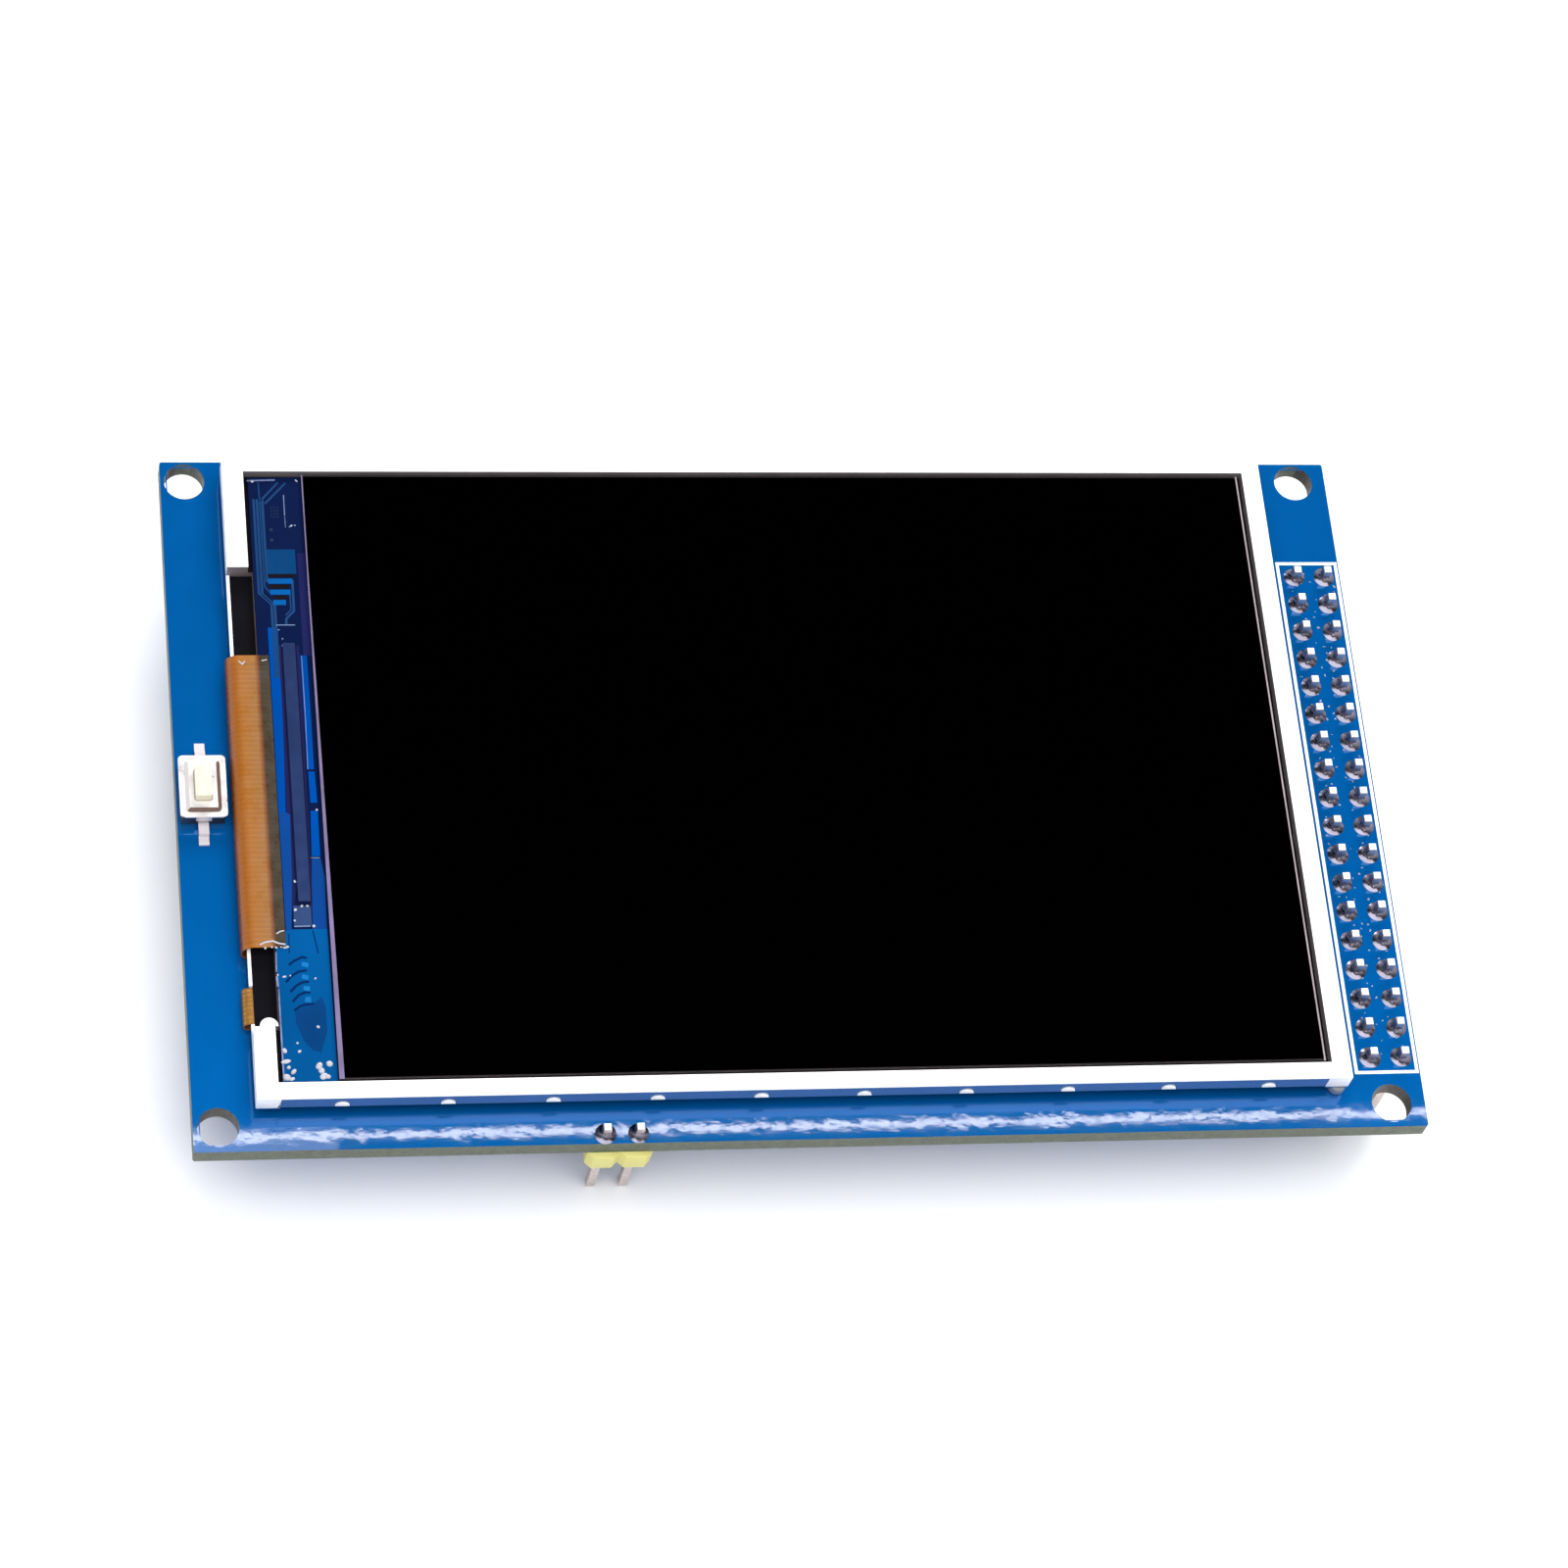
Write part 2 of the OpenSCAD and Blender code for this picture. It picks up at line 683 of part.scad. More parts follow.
module lcd_frame() {
    wall_l = wall_x1 - wall_x0;
    end_l = lcd_w - 2 * corner_block;
    color([0.96, 0.96, 0.97]) at_lcd() {
        difference() {
            translate([0, 0, tray_t]) cube([lcd_l, lcd_w, rim_z - tray_t]);
            // room for the tray's three walls
            translate([wall_x0, 0, 0]) wall_room(wall_l);
            translate([wall_x0, lcd_w, 0]) mirror([0, 1, 0]) wall_room(wall_l);
            translate([lcd_l, corner_block, 0]) rotate([0, 0, 90]) wall_room(end_l);
            // pocket for the glass
            translate([rim_left, rim_front, ledge_z])
                cube([lcd_l - rim_left - rim_right, lcd_w - rim_front - rim_back, rim_z]);
            // room for the light guide and the lamps
            translate([rib_x + rib_w, cavity_y0, 0])
                cube([cavity_x1 - rib_x - rib_w, cavity_y1 - cavity_y0, rim_z]);
            // passage of the lamp flex under the rib
            translate([notch_wall, notch_y0, 0])
                cube([rib_x + rib_w - notch_wall + cut, notch_l, lamp_z + fit]);
            // notch, down to the tray between the low wall and the rib
            translate([notch_wall, notch_y0, 0]) cube([rib_x - notch_wall, notch_l, rim_z + cut]);
            translate([-cut, notch_y0, tray_t + notch_wall_h])
                cube([cut + rib_x, notch_l, rim_z]);
            // gap in the low wall for the lamp flex tail
            translate([-cut, tail_y - tail_gap, 0])
                cube([rim_left, tail_w + 2 * tail_gap, rim_z]);
            block_slope();
            translate([0, lcd_w, 0]) mirror([0, 1, 0]) block_slope();
        }
        // bead at the notch's front end
        bead_z = tray_t + lamp_flex_t + 0.1;
        bead_root = 0.2;
        translate([notch_bead_x, notch_y0, bead_z]) linear_extrude(rim_z - bead_z) {
            intersection() {
                circle(r = notch_bead_r);
                translate([-notch_bead_r, 0]) square([2 * notch_bead_r, notch_bead_r]);
            }
            translate([-notch_bead_r, -bead_root])
                square([rim_left - notch_bead_x + notch_bead_r, bead_root]);
        }
        intersection() {
            nub_rows(0, nub_out);
            translate([0, -cut, tray_t]) cube([lcd_l, lcd_w + 2 * cut, rim_z]);
        }
    }
}

// A film of the light unit, in the frame's cavity
module light_film(z, t) {
    at_lcd() translate([film_x0, film_y0, z])
        cube([film_x1 - film_x0, film_y1 - film_y0, t]);
}

module reflector_film() {
    color([0.93, 0.94, 0.96]) light_film(reflector_z, reflector_t);
}

module light_guide() {
    color([0.85, 0.9, 0.92]) light_film(guide_z, guide_t);
}

module diffuser_film() {
    color([0.95, 0.95, 0.95]) light_film(diffuser_z, diffuser_t);
}

module prism_film() {
    color([0.8, 0.82, 0.85]) light_film(prism_z, prism_t);
}

// Strip under the lamps, with a tail that folds down to the board
module lamp_flex() {
    strip_w = lamp_x + lamp_d - lamp_flex_x;
    color([0.82, 0.5, 0.12]) at_lcd() {
        translate([lamp_flex_x, notch_y0 + fit, tray_t])
            cube([strip_w, notch_l - 2 * fit, lamp_flex_t]);
        translate([0, tail_y + tail_w, 0]) rotate([90, 0, 0]) linear_extrude(tail_w)
            fold_side(lamp_flex_x + cut, tail_reach, -tape_t, tail_fold_r, tail_fold_x,
                lamp_flex_t);
    }
}

module lamps() {
    span = notch_l - lamp_l - 1;
    color([0.95, 0.9, 0.6]) at_lcd() for (i = [0:lamp_count - 1])
        translate([lamp_x, notch_y0 + 0.5 + i * span / (lamp_count - 1), lamp_z])
            cube([lamp_d, lamp_l, lamp_h]);
}

// Black tape over the lamp flex in the notch
module notch_tape() {
    color([0.04, 0.04, 0.045]) at_lcd()
        translate([lamp_flex_x, notch_y0 + fit, tray_t + lamp_flex_t])
            cube([rib_x - lamp_flex_x - fit, notch_l - 2 * fit, rim_tape_t]);
}

// Black ring that holds the glass to the ledge and fills the pocket's floor up to the rims
module rim_tape() {
    color([0.04, 0.04, 0.045]) at_lcd() translate([0, 0, ledge_z]) difference() {
        translate([rim_left + fit, rim_front + fit, 0])
            cube([lcd_l - rim_left - rim_right - 2 * fit, lcd_w - rim_front - rim_back - 2 * fit,
                rim_tape_t]);
        translate([0, notch_y0, -cut]) cube([rib_x, notch_l, 2 * cut]);
        translate([rib_x + rib_w, cavity_y0, -cut])
            cube([cavity_x1 - rib_x - rib_w, cavity_y1 - cavity_y0, 2 * cut]);
    }
}

module rear_polariser() {
    color([0.1, 0.11, 0.13]) light_film(rear_polar_z, polar_t);
}

module rear_glass() {
    color([0.1, 0.2, 0.42]) at_lcd() translate([glass_x, glass_y0, rear_glass_z])
        cube([glass_x1 - glass_x, glass_y1 - glass_y0, glass_t]);
}

module front_glass() {
    color([0.06, 0.07, 0.1]) at_lcd() translate([front_glass_x, glass_y0, front_glass_z])
        cube([glass_x1 - front_glass_x, glass_y1 - glass_y0, glass_t]);
}

module front_polariser() {
    color([0.01, 0.01, 0.012]) at_lcd()
        translate([front_glass_x + polar_back, glass_y0 + polar_back, front_polar_z])
            cube([glass_x1 - front_glass_x - 2 * polar_back,
                glass_y1 - glass_y0 - 2 * polar_back, polar_t]);
}

module driver_chip() {
    color([0.24, 0.3, 0.5]) at_lcd()
        translate([glass_x + chip_x, chip_y - chip_l / 2, front_glass_z])
            cube([chip_w, chip_l, chip_h]);
}

// Ribbon from the glass, round the left end of the display, to the board
module panel_flex() {
    color([0.78, 0.45, 0.1]) at_lcd() translate([0, flex_y + flex_w / 2, 0])
        rotate([90, 0, 0]) linear_extrude(flex_w)
            fold_side(flex_end_x, flex_reach, flex_low_z, flex_fold_r, flex_fold_x, flex_t);
}

// Tinned pads that carry the end of the ribbon
module flex_solder() {
    pad_l = 1.6;
    pad_w = 0.4;
    color([0.72, 0.73, 0.76]) at_lcd() for (i = [0:flex_pads - 1])
        translate([flex_reach - pad_l, flex_y + (i - (flex_pads - 1) / 2) * flex_pad_pitch
            - pad_w / 2, -tape_t]) cube([pad_l + 0.3, pad_w, flex_pad_t]);
}

// Dot of clear glue under the display's right front corner
module corner_glue() {
    edge_r = 0.2;
    color([0.6, 0.62, 0.66])
        translate([lcd_at[0] + lcd_l - glue_in_x, lcd_at[1] + glue_in_y, board_t])
        rotate_extrude() {
            square([glue_r - edge_r, tape_t]);
            translate([0, edge_r]) square([glue_r, tape_t - 2 * edge_r]);
            for (z = [edge_r, tape_t - edge_r]) translate([glue_r - edge_r, z])
                circle(r = edge_r);
        }
}

module switch_base() {
    color([0.06, 0.06, 0.065]) at_switch() difference() {
        translate([-base_w / 2, -base_l / 2, 0]) cube([base_w, base_l, base_h]);
        translate([0, 0, well_z]) cylinder(r = dome_r + 0.05, h = base_h);
        translate([0, 0, flange_z - plunger_travel - 0.1]) linear_extrude(base_h)
            rounded_centre(plunger_w + 2 * flange_out + 0.1, plunger_l + 2 * flange_out + 0.1,
                slot_corner_r);
    }
}

// Bar along Y with the sloping sides of the cover's raised panel
module panel_bar(w, l) {
    rotate([90, 0, 0]) linear_extrude(l, center = true)
        polygon([[-w / 2, base_h], [w / 2, base_h], [w / 2, cover_top],
            [w / 2 - raised_slope, raised_top], [raised_slope - w / 2, raised_top],
            [-w / 2, cover_top]]);
}

// Raised panel of the cover, or the hollow a skin's thickness under it
module raised_panel(skin) {
    w = raised_w - 2 * skin;
    l = raised_l - 2 * skin;
    translate([0, 0, -skin]) intersection() {
        panel_bar(w, l);
        rotate([0, 0, 90]) panel_bar(l, w);
        linear_extrude(raised_top + cut) rounded_centre(w, l, panel_corner_r - skin);
    }
}

// Pressed cover: a flat sheet with a raised panel, a slot, and a tab bent down at each end
module switch_cover() {
    tab_h = 0.55;
    color([0.9, 0.9, 0.88]) at_switch() difference() {
        union() {
            translate([0, 0, base_h]) linear_extrude(cover_t)
                rounded_centre(cover_w, cover_l, 0.35);
            raised_panel(0);
            for (y = [-cover_l / 2, cover_l / 2 - cover_over + fit])
                translate([-tab_w / 2, y, cover_top - tab_h - cover_t])
                    cube([tab_w, cover_over - fit, tab_h]);
        }
        raised_panel(cover_t);
        translate([0, 0, base_h]) linear_extrude(raised_h + cover_t + cut)
            rounded_centre(plunger_w + 2 * plunger_gap, plunger_l + 2 * plunger_gap,
                slot_corner_r + plunger_gap);
    }
}

module switch_plunger() {
    color([0.93, 0.89, 0.76]) at_switch() {
        translate([0, 0, flange_z]) linear_extrude(plunger_top - flange_z)
            rounded_centre(plunger_w, plunger_l, slot_corner_r);
        translate([0, 0, flange_z]) linear_extrude(flange_t)
            rounded_centre(plunger_w + 2 * flange_out, plunger_l + 2 * flange_out,
                slot_corner_r);
    }
}

// Thin snap dome: a spherical cap standing on its edge in the base's well
module switch_dome() {
    color([0.75, 0.75, 0.72]) at_switch() translate([0, 0, well_z + dome_h - dome_ball_r])
        intersection() {
            difference() {
                sphere(r = dome_ball_r);
                sphere(r = dome_ball_r - dome_t);
            }
            translate([0, 0, dome_ball_r - dome_h]) cylinder(r = dome_r, h = dome_h + cut);
        }
}

// Flat terminals that step down from the base to their pads
module switch_terminals() {
    y0 = base_l / 2;
    y1 = y0 + terminal_l;
    foot = y1 - terminal_foot;
    knee = foot - 0.15;
    lean = 0.08;
    z1 = terminal_z;
    color([0.78, 0.78, 0.76]) at_switch() for (side = [0, 1]) mirror([0, side, 0])
        translate([-terminal_w / 2, 0, 0]) rotate([90, 0, 90]) linear_extrude(terminal_w)
            polygon([[y0, z1], [knee, z1], [foot, 0], [y1, 0], [y1, terminal_t],
                [foot + lean, terminal_t], [knee + lean, z1 + terminal_t], [y0, z1 + terminal_t]]);
}

// Moulded body: floor on the board, two sides and a back, round the card's slot
module card_socket_body() {
    body_h = socket_h - shell_t;
    body_w = socket_w - 2 * shell_t;
    color([0.08, 0.08, 0.085]) difference() {
        translate([socket_x, socket_y - body_w / 2, -body_h]) cube([socket_l, body_w, body_h]);
        translate([socket_x - cut, socket_y - slot_w / 2, -body_h - cut])
            cube([slot_d + cut, slot_w, slot_h + cut]);
        // grooves for the spring contacts, through the back
        for (i = [0:contact_count - 1])
            translate([socket_x + slot_d - contact_reach - contact_play,
                contact_y0 + i * contact_pitch - contact_play, -body_h + slot_h - cut])
                cube([socket_l, contact_w + 2 * contact_play, body_h - slot_h + 2 * cut]);
    }
}

// Steel shell: one sheet folded down both sides, with a wide thumb cut-out at the mouth
module card_socket_shell() {
    color([0.72, 0.74, 0.77]) difference() {
        translate([socket_x, socket_y - socket_w / 2, -socket_h])
            cube([socket_l, socket_w, socket_h]);
        translate([socket_x - cut, socket_y - socket_w / 2 + shell_t, -socket_h + shell_t])
            cube([socket_l + 2 * cut, socket_w - 2 * shell_t, socket_h + cut]);
        translate([socket_x, socket_y, -socket_h - cut])
            cylinder(r = thumb_r, h = shell_t + 2 * cut);
        for (side = [-1, 1])
            translate([socket_x + socket_l / 2,
                socket_y + side * slit_gap / 2 - slit_w / 2, -socket_h - cut])
                cube([slit_l, slit_w, shell_t + 2 * cut]);
    }
}

// Spring contacts: a foot on the board behind the socket and a bowed blade into the slot
module card_contacts() {
    floor_h = socket_h - shell_t - slot_h;
    drop = 2 * contact_t;
    run = socket_l - slot_d + contact_reach + contact_foot;
    color([0.83, 0.68, 0.3]) for (i = [0:contact_count - 1])
        translate([socket_x + slot_d - contact_reach,
            contact_y0 + i * contact_pitch + contact_w, -floor_h])
            rotate([90, 0, 0]) linear_extrude(contact_w) {
                translate([0, floor_h - contact_t]) square([run, contact_t]);
                translate([0, -drop]) square([contact_t, floor_h + drop]);
                translate([0, -drop]) square([contact_tip, contact_t]);
            }
}

module regulator_body() {
    color([0.07, 0.07, 0.075]) translate([reg_x - reg_w / 2, reg_y - reg_l / 2,
        -standoff - reg_h]) cube([reg_w, reg_l, reg_h]);
}

// One lead, seen along Y, hanging under the board
module lead(body_half, out, h, w) {
    mirror([0, 0, 1]) translate([0, w / 2, 0]) rotate([90, 0, 0]) linear_extrude(w)
        lead_side(body_half, out, h);
}

module regulator_leads() {
    color([0.75, 0.75, 0.75]) translate([reg_x, reg_y, 0]) {
        for (i = [-1:1]) translate([0, i * reg_pitch, 0])
            lead(reg_w / 2, reg_lead_out, reg_h, reg_lead_w);
        mirror([1, 0, 0]) lead(reg_w / 2, reg_lead_out, reg_h, reg_tab_w);
    }
}

module at_buffers() {
    for (i = [0:buffer_count - 1])
        translate([buffer_x, buffer_y - i * buffer_gap, 0]) children();
}

module buffer_bodies() {
    color([0.07, 0.07, 0.075]) at_buffers()
        translate([-buffer_w / 2, -buffer_l / 2, -standoff - buffer_h]) difference() {
            cube([buffer_w, buffer_l, buffer_h]);
            translate([0.8, 0.8, -cut]) cylinder(r = 0.35, h = cut + 0.08);
        }
}

module buffer_leads() {
    color([0.75, 0.75, 0.75]) at_buffers()
        for (side = [0, 1], i = [0:buffer_leads_n - 1])
            mirror([side, 0, 0])
                translate([0, (i - (buffer_leads_n - 1) / 2) * buffer_pitch, 0])
                    lead(buffer_w / 2, lead_out, buffer_h, lead_w);
}

module capacitors() {
    color([0.66, 0.55, 0.4]) for (p = cap_places)
        translate([p[0] - cap_l / 2, p[1] - cap_w / 2, -cap_h]) cube([cap_l, cap_w, cap_h]);
}

module resistors() {
    color([0.1, 0.1, 0.11]) for (i = [0:res_count - 1])
        translate([res_x - res_l / 2,
            res_y + (i - (res_count - 1) / 2) * res_pitch - res_w / 2, -res_h])
            cube([res_l, res_w, res_h]);
}

circuit_board();
header_block();
header_pins();
link_header_block();
link_header_pins();
solder_joints();
foam_tape();
steel_tray();
lcd_frame();
reflector_film();
light_guide();
diffuser_film();
prism_film();
lamp_flex();
lamps();
notch_tape();
rim_tape();
rear_polariser();
rear_glass();
front_glass();
front_polariser();
driver_chip();
panel_flex();
flex_solder();
corner_glue();
switch_base();
switch_cover();
switch_plunger();
switch_dome();
switch_terminals();
card_socket_body();
card_socket_shell();
card_contacts();
regulator_body();
regulator_leads();
buffer_bodies();
buffer_leads();
capacitors();
resistors();
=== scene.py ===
"""Looks of the colour display module: finishes, solder, ribbons, glass artwork and glue."""

import math

import bmesh
import bpy
from mathutils import Matrix, Vector


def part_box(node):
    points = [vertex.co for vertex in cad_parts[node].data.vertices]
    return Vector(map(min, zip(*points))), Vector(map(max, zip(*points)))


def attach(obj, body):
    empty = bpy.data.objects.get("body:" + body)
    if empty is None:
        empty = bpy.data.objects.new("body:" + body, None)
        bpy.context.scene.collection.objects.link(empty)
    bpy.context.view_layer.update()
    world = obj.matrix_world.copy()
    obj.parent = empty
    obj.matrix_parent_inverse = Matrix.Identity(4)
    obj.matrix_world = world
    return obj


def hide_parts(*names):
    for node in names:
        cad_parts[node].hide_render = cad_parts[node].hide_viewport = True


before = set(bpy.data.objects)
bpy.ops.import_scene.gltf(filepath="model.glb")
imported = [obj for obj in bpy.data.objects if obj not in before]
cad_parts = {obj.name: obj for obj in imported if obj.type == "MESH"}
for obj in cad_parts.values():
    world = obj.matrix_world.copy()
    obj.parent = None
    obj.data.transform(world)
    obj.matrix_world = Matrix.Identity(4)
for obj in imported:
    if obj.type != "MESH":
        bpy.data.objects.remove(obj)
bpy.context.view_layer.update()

MM = 0.001
BODY = "module"
# Corners of a CAD mesh nearer than this are one corner
WELD = 2e-7


# ---------------------------------------------------------------- camera, light and floor

# The camera's place, its right and its up
EYE = Vector((-81.08, -192.19, 374.99)) * MM
EYE_RIGHT = Vector((0.9818, -0.0953, 0.1645))
EYE_UP = Vector((0.0091, 0.8878, 0.4601))
LENS = 124.74
FLOOR_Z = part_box("header_pins")[0].z


def set_camera():
    camera = bpy.data.objects.new("camera", bpy.data.cameras.new("camera"))
    bpy.context.scene.collection.objects.link(camera)
    back = EYE_RIGHT.cross(EYE_UP)
    camera.matrix_world = Matrix((
        (EYE_RIGHT.x, EYE_UP.x, back.x, EYE.x),
        (EYE_RIGHT.y, EYE_UP.y, back.y, EYE.y),
        (EYE_RIGHT.z, EYE_UP.z, back.z, EYE.z),
        (0, 0, 0, 1)))
    camera.data.lens = LENS
    camera.data.clip_start = 0.01
    camera.data.clip_end = 10
    bpy.context.scene.camera = camera


def softbox(name, at, aim, width, depth, power):
    """A rectangular studio lamp at a place, turned to a point, in metres and watts."""
    lamp = bpy.data.lights.new(name, "AREA")
    lamp.shape = "RECTANGLE"
    lamp.size, lamp.size_y, lamp.energy = width, depth, power
    box = bpy.data.objects.new(name, lamp)
    bpy.context.scene.collection.objects.link(box)
    box.location = at
    box.rotation_euler = (Vector(aim) - Vector(at)).to_track_quat("-Z", "Y").to_euler()


def set_light():
    world = bpy.data.worlds.new("pale_room")
    bpy.context.scene.world = world
    world.use_nodes = True
    tree = world.node_tree
    background = tree.nodes["Background"]
    background.inputs["Color"].default_value = (0.95, 0.97, 1.0, 1)
    heading = tree.nodes.new("ShaderNodeTexCoord").outputs["Generated"]
    height = node(tree, "ShaderNodeSeparateXYZ", {"Vector": heading}).outputs["Z"]
    glow = node(tree, "ShaderNodeMapRange", {"Value": height, "From Min": 0.3, "From Max": 0.6,
                                             "To Min": 1.0, "To Max": 0.02})
    tree.links.new(glow.outputs["Result"], background.inputs["Strength"])
    softbox("overhead", (0, -0.25, 0.9), (0, -0.25, 0), 1.5, 1.1, 16)
    softbox("back_light", (0.25, 1.15, 0.8), (0, 0, 0), 1.0, 0.5, 16)
    # These two show as reflections in the gloss of the board's front strip
    softbox("hot_line", (0.2, 0.3641, 0.9), (0.2, 0.3641, 0), 0.5, 0.0018, 0.055)
    softbox("corner_gleam", (0.045, 0.357, 0.9), (0.045, 0.357, 0), 0.05, 0.02, 0.009)
    bpy.context.scene.view_settings.view_transform = "Standard"


# ---------------------------------------------------------------- finishes

def linear(rgb):
    """Linear colour of an sRGB triple out of 255."""
    parts = [c / 255 for c in rgb]
    return [c / 12.92 if c <= 0.04045 else ((c + 0.055) / 1.055) ** 2.4 for c in parts] + [1.0]


def node(tree, kind, inputs=(), **settings):
    """A shader node with its settings; an input is a plain value or another node's output."""
    made = tree.nodes.new(kind)
    for key, value in settings.items():
        setattr(made, key, value)
    for key, value in dict(inputs).items():
        if isinstance(value, bpy.types.NodeSocket):
            tree.links.new(value, made.inputs[key])
        else:
            made.inputs[key].default_value = value
    return made


def noise(tree, place, scale, detail=3.0):
    made = node(tree, "ShaderNodeTexNoise", {"Vector": place, "Scale": scale, "Detail": detail})
    return made.outputs["Fac"]


def ranged(tree, value, low, high, start=0.3, end=0.7):
    made = node(tree, "ShaderNodeMapRange", {"Value": value, "From Min": start, "From Max": end,
                                             "To Min": low, "To Max": high})
    return made.outputs["Result"]


def tones(tree, factor, dark, light):
    made = node(tree, "ShaderNodeMix", data_type="RGBA")
    tree.links.new(factor, made.inputs[0])
    made.inputs[6].default_value, made.inputs[7].default_value = dark, light
    return made.outputs[2]


FINISHES = {}
# How many times its own tone a matt face shows under the studio light
LIT = 2.0


def finish(name, rgb, rough, vary=0.06, patch=250, uneven=0.25, grain=2500, relief=0.002, own=False,
           **sockets):
    """A finish in Object coordinates: soft patches of tone, an uneven gloss and a fine relief in mm.

    rgb is the tone under the studio light, which shows a matt face LIT times its own tone; metals and
    finishes marked own give their own tone."""
    made = bpy.data.materials.new(name)
    made.use_nodes = True
    tree = made.node_tree
    shader = tree.nodes["Principled BSDF"]
    place = tree.nodes.new("ShaderNodeTexCoord").outputs["Object"]
    shown = 1 if own or sockets.get("Metallic", 0) > 0.5 else LIT
    base = [c / shown for c in linear(rgb)]
    dark = [c * (1 - vary) for c in base[:3]] + [1]
    light = [min(1, c * (1 + vary)) for c in base[:3]] + [1]
    patches = noise(tree, place, patch)
    tree.links.new(tones(tree, ranged(tree, patches, 0, 1), dark, light), shader.inputs["Base Color"])
    smear = noise(tree, place, patch * 3.7)
    gloss = ranged(tree, smear, rough * (1 - uneven), min(1, rough * (1 + uneven)))
    tree.links.new(gloss, shader.inputs["Roughness"])
    if relief:
        fine = noise(tree, place, grain, 4.0)
        bump = node(tree, "ShaderNodeBump", {"Height": fine, "Distance": relief * MM, "Strength": 1.0})
        tree.links.new(bump.outputs["Normal"], shader.inputs["Normal"])
        tree.links.new(bump.outputs["Normal"], shader.inputs["Coat Normal"])
    for key, value in sockets.items():
        shader.inputs[key.replace("_", " ")].default_value = value
    FINISHES[name] = made
    return made


def banded(name, stops, rough, **sockets):
    """A finish whose colour runs along X through stops of (x in metres, sRGB colour)."""
    made = finish(name, (128, 128, 128), rough, **sockets)
    tree = made.node_tree
    shader = tree.nodes["Principled BSDF"]
    place = tree.nodes.new("ShaderNodeTexCoord").outputs["Object"]
    along = node(tree, "ShaderNodeSeparateXYZ", {"Vector": place}).outputs["X"]
    span = ranged(tree, along, 0, 1, stops[0][0], stops[-1][0])
    ramp = node(tree, "ShaderNodeValToRGB", {"Fac": span})
    bar = ramp.color_ramp
    while len(bar.elements) < len(stops):
        bar.elements.new(0.5)
    for spot, (x, rgb) in zip(bar.elements, stops):
        spot.position = (x - stops[0][0]) / (stops[-1][0] - stops[0][0])
        spot.color = [c / LIT for c in linear(rgb)[:3]] + [1]
    tree.links.new(ramp.outputs["Color"], shader.inputs["Base Color"])
    return made


def make_finishes():
    finish("blue_mask", (0, 127, 224), 0.24, vary=0.02, patch=90, uneven=0.05, grain=700, relief=0.001,
           IOR=1.02, Metallic=0.45, Coat_Weight=1.0, Coat_Roughness=0.015, Coat_IOR=1.5)
    finish("epoxy_edge", (118, 128, 108), 0.6, vary=0.16, patch=1500, grain=4000, relief=0.02)
    # Bare epoxy in the holes, painted darker as shade
    finish("hole_wall_shade", (84, 80, 70), 0.5, vary=0.2, patch=900, relief=0.01)
    # The frame's white inner walls, painted grey as shade
    finish("pocket_wall_shade", (152, 142, 144), 0.5, vary=0.15, patch=300, relief=0.004)
    finish("silk_ink", (246, 246, 246), 0.5, vary=0.02, own=True)
    finish("white_moulding", (246, 246, 248), 0.4, vary=0.01, patch=120, relief=0.003, own=True)
    finish("tray_steel", (150, 156, 168), 0.16, Metallic=1.0, grain=900)
    finish("yellow_moulding", (208, 202, 118), 0.42, vary=0.05, relief=0.002, own=True)
    finish("tinned_pin", (205, 192, 186), 0.3, Metallic=1.0, vary=0.12, patch=900)
    finish("solder", (128, 124, 138), 0.2, Metallic=1.0, vary=0.15, patch=700, grain=1500, relief=0.012)
    finish("foam", (34, 34, 38), 0.85, vary=0.2, patch=2500, grain=3500, relief=0.05)
    finish("film", (236, 238, 242), 0.3)
    finish("guide", (214, 224, 230), 0.12)
    finish("lamp", (244, 232, 168), 0.35)
    finish("amber_film", (186, 122, 52), 0.3, vary=0.1, patch=160, grain=1200, relief=0.001, IOR=1.5)
    finish("amber_rib", (232, 170, 70), 0.25, vary=0.1, patch=400, Metallic=0.5)
    finish("black_tape", (27, 26, 32), 0.6, vary=0.15, grain=1800, relief=0.006, IOR=1.05)
    finish("ledge_glass", (20, 36, 84), 0.1, vary=0.1, patch=140, relief=0.0, IOR=1.05)
    finish("front_glass", (62, 56, 58), 0.1, relief=0.0)
    finish("dark_film", (0, 0, 0), 0.15, vary=0.0, relief=0.0003, IOR=1.04)
    finish("chip", (66, 92, 158), 0.16, Metallic=0.5, vary=0.1, patch=300, relief=0.001)
    finish("clear_glue", (150, 156, 170), 0.1, vary=0.2, patch=600, relief=0.01)
    finish("black_moulding", (20, 20, 22), 0.45, vary=0.15, relief=0.008)
    finish("bright_steel", (222, 217, 216), 0.35, Metallic=0.6, vary=0.03, grain=3000, relief=0.0)
    finish("ivory_moulding", (218, 213, 188), 0.4, vary=0.03, own=True)
    finish("lead_metal", (200, 200, 204), 0.28, Metallic=1.0, vary=0.1, patch=800)
    finish("terminal_tin", (196, 190, 194), 0.45, vary=0.04, relief=0.002, own=True)
    # Painted highlight on the pins' sheared ends
    finish("pin_tip_highlight", (250, 250, 252), 0.5, vary=0.02, relief=0.0, own=True)
    # Painted shade on the switch cover's front skirt and on its raised panel's sides
    finish("shaded_steel", (44, 38, 42), 0.5, vary=0.1)
    finish("panel_slope_shade", (132, 100, 86), 0.5, vary=0.1, patch=900)
    finish("shell_steel", (186, 190, 196), 0.3, Metallic=1.0, vary=0.06, grain=1800, relief=0.004)
    finish("gilded", (224, 184, 104), 0.25, Metallic=1.0, vary=0.08)
    finish("capacitor_body", (168, 140, 104), 0.5, vary=0.08, relief=0.006)
    finish("resistor_body", (28, 28, 32), 0.4, vary=0.1, relief=0.004)


# ---------------------------------------------------------------- pieces

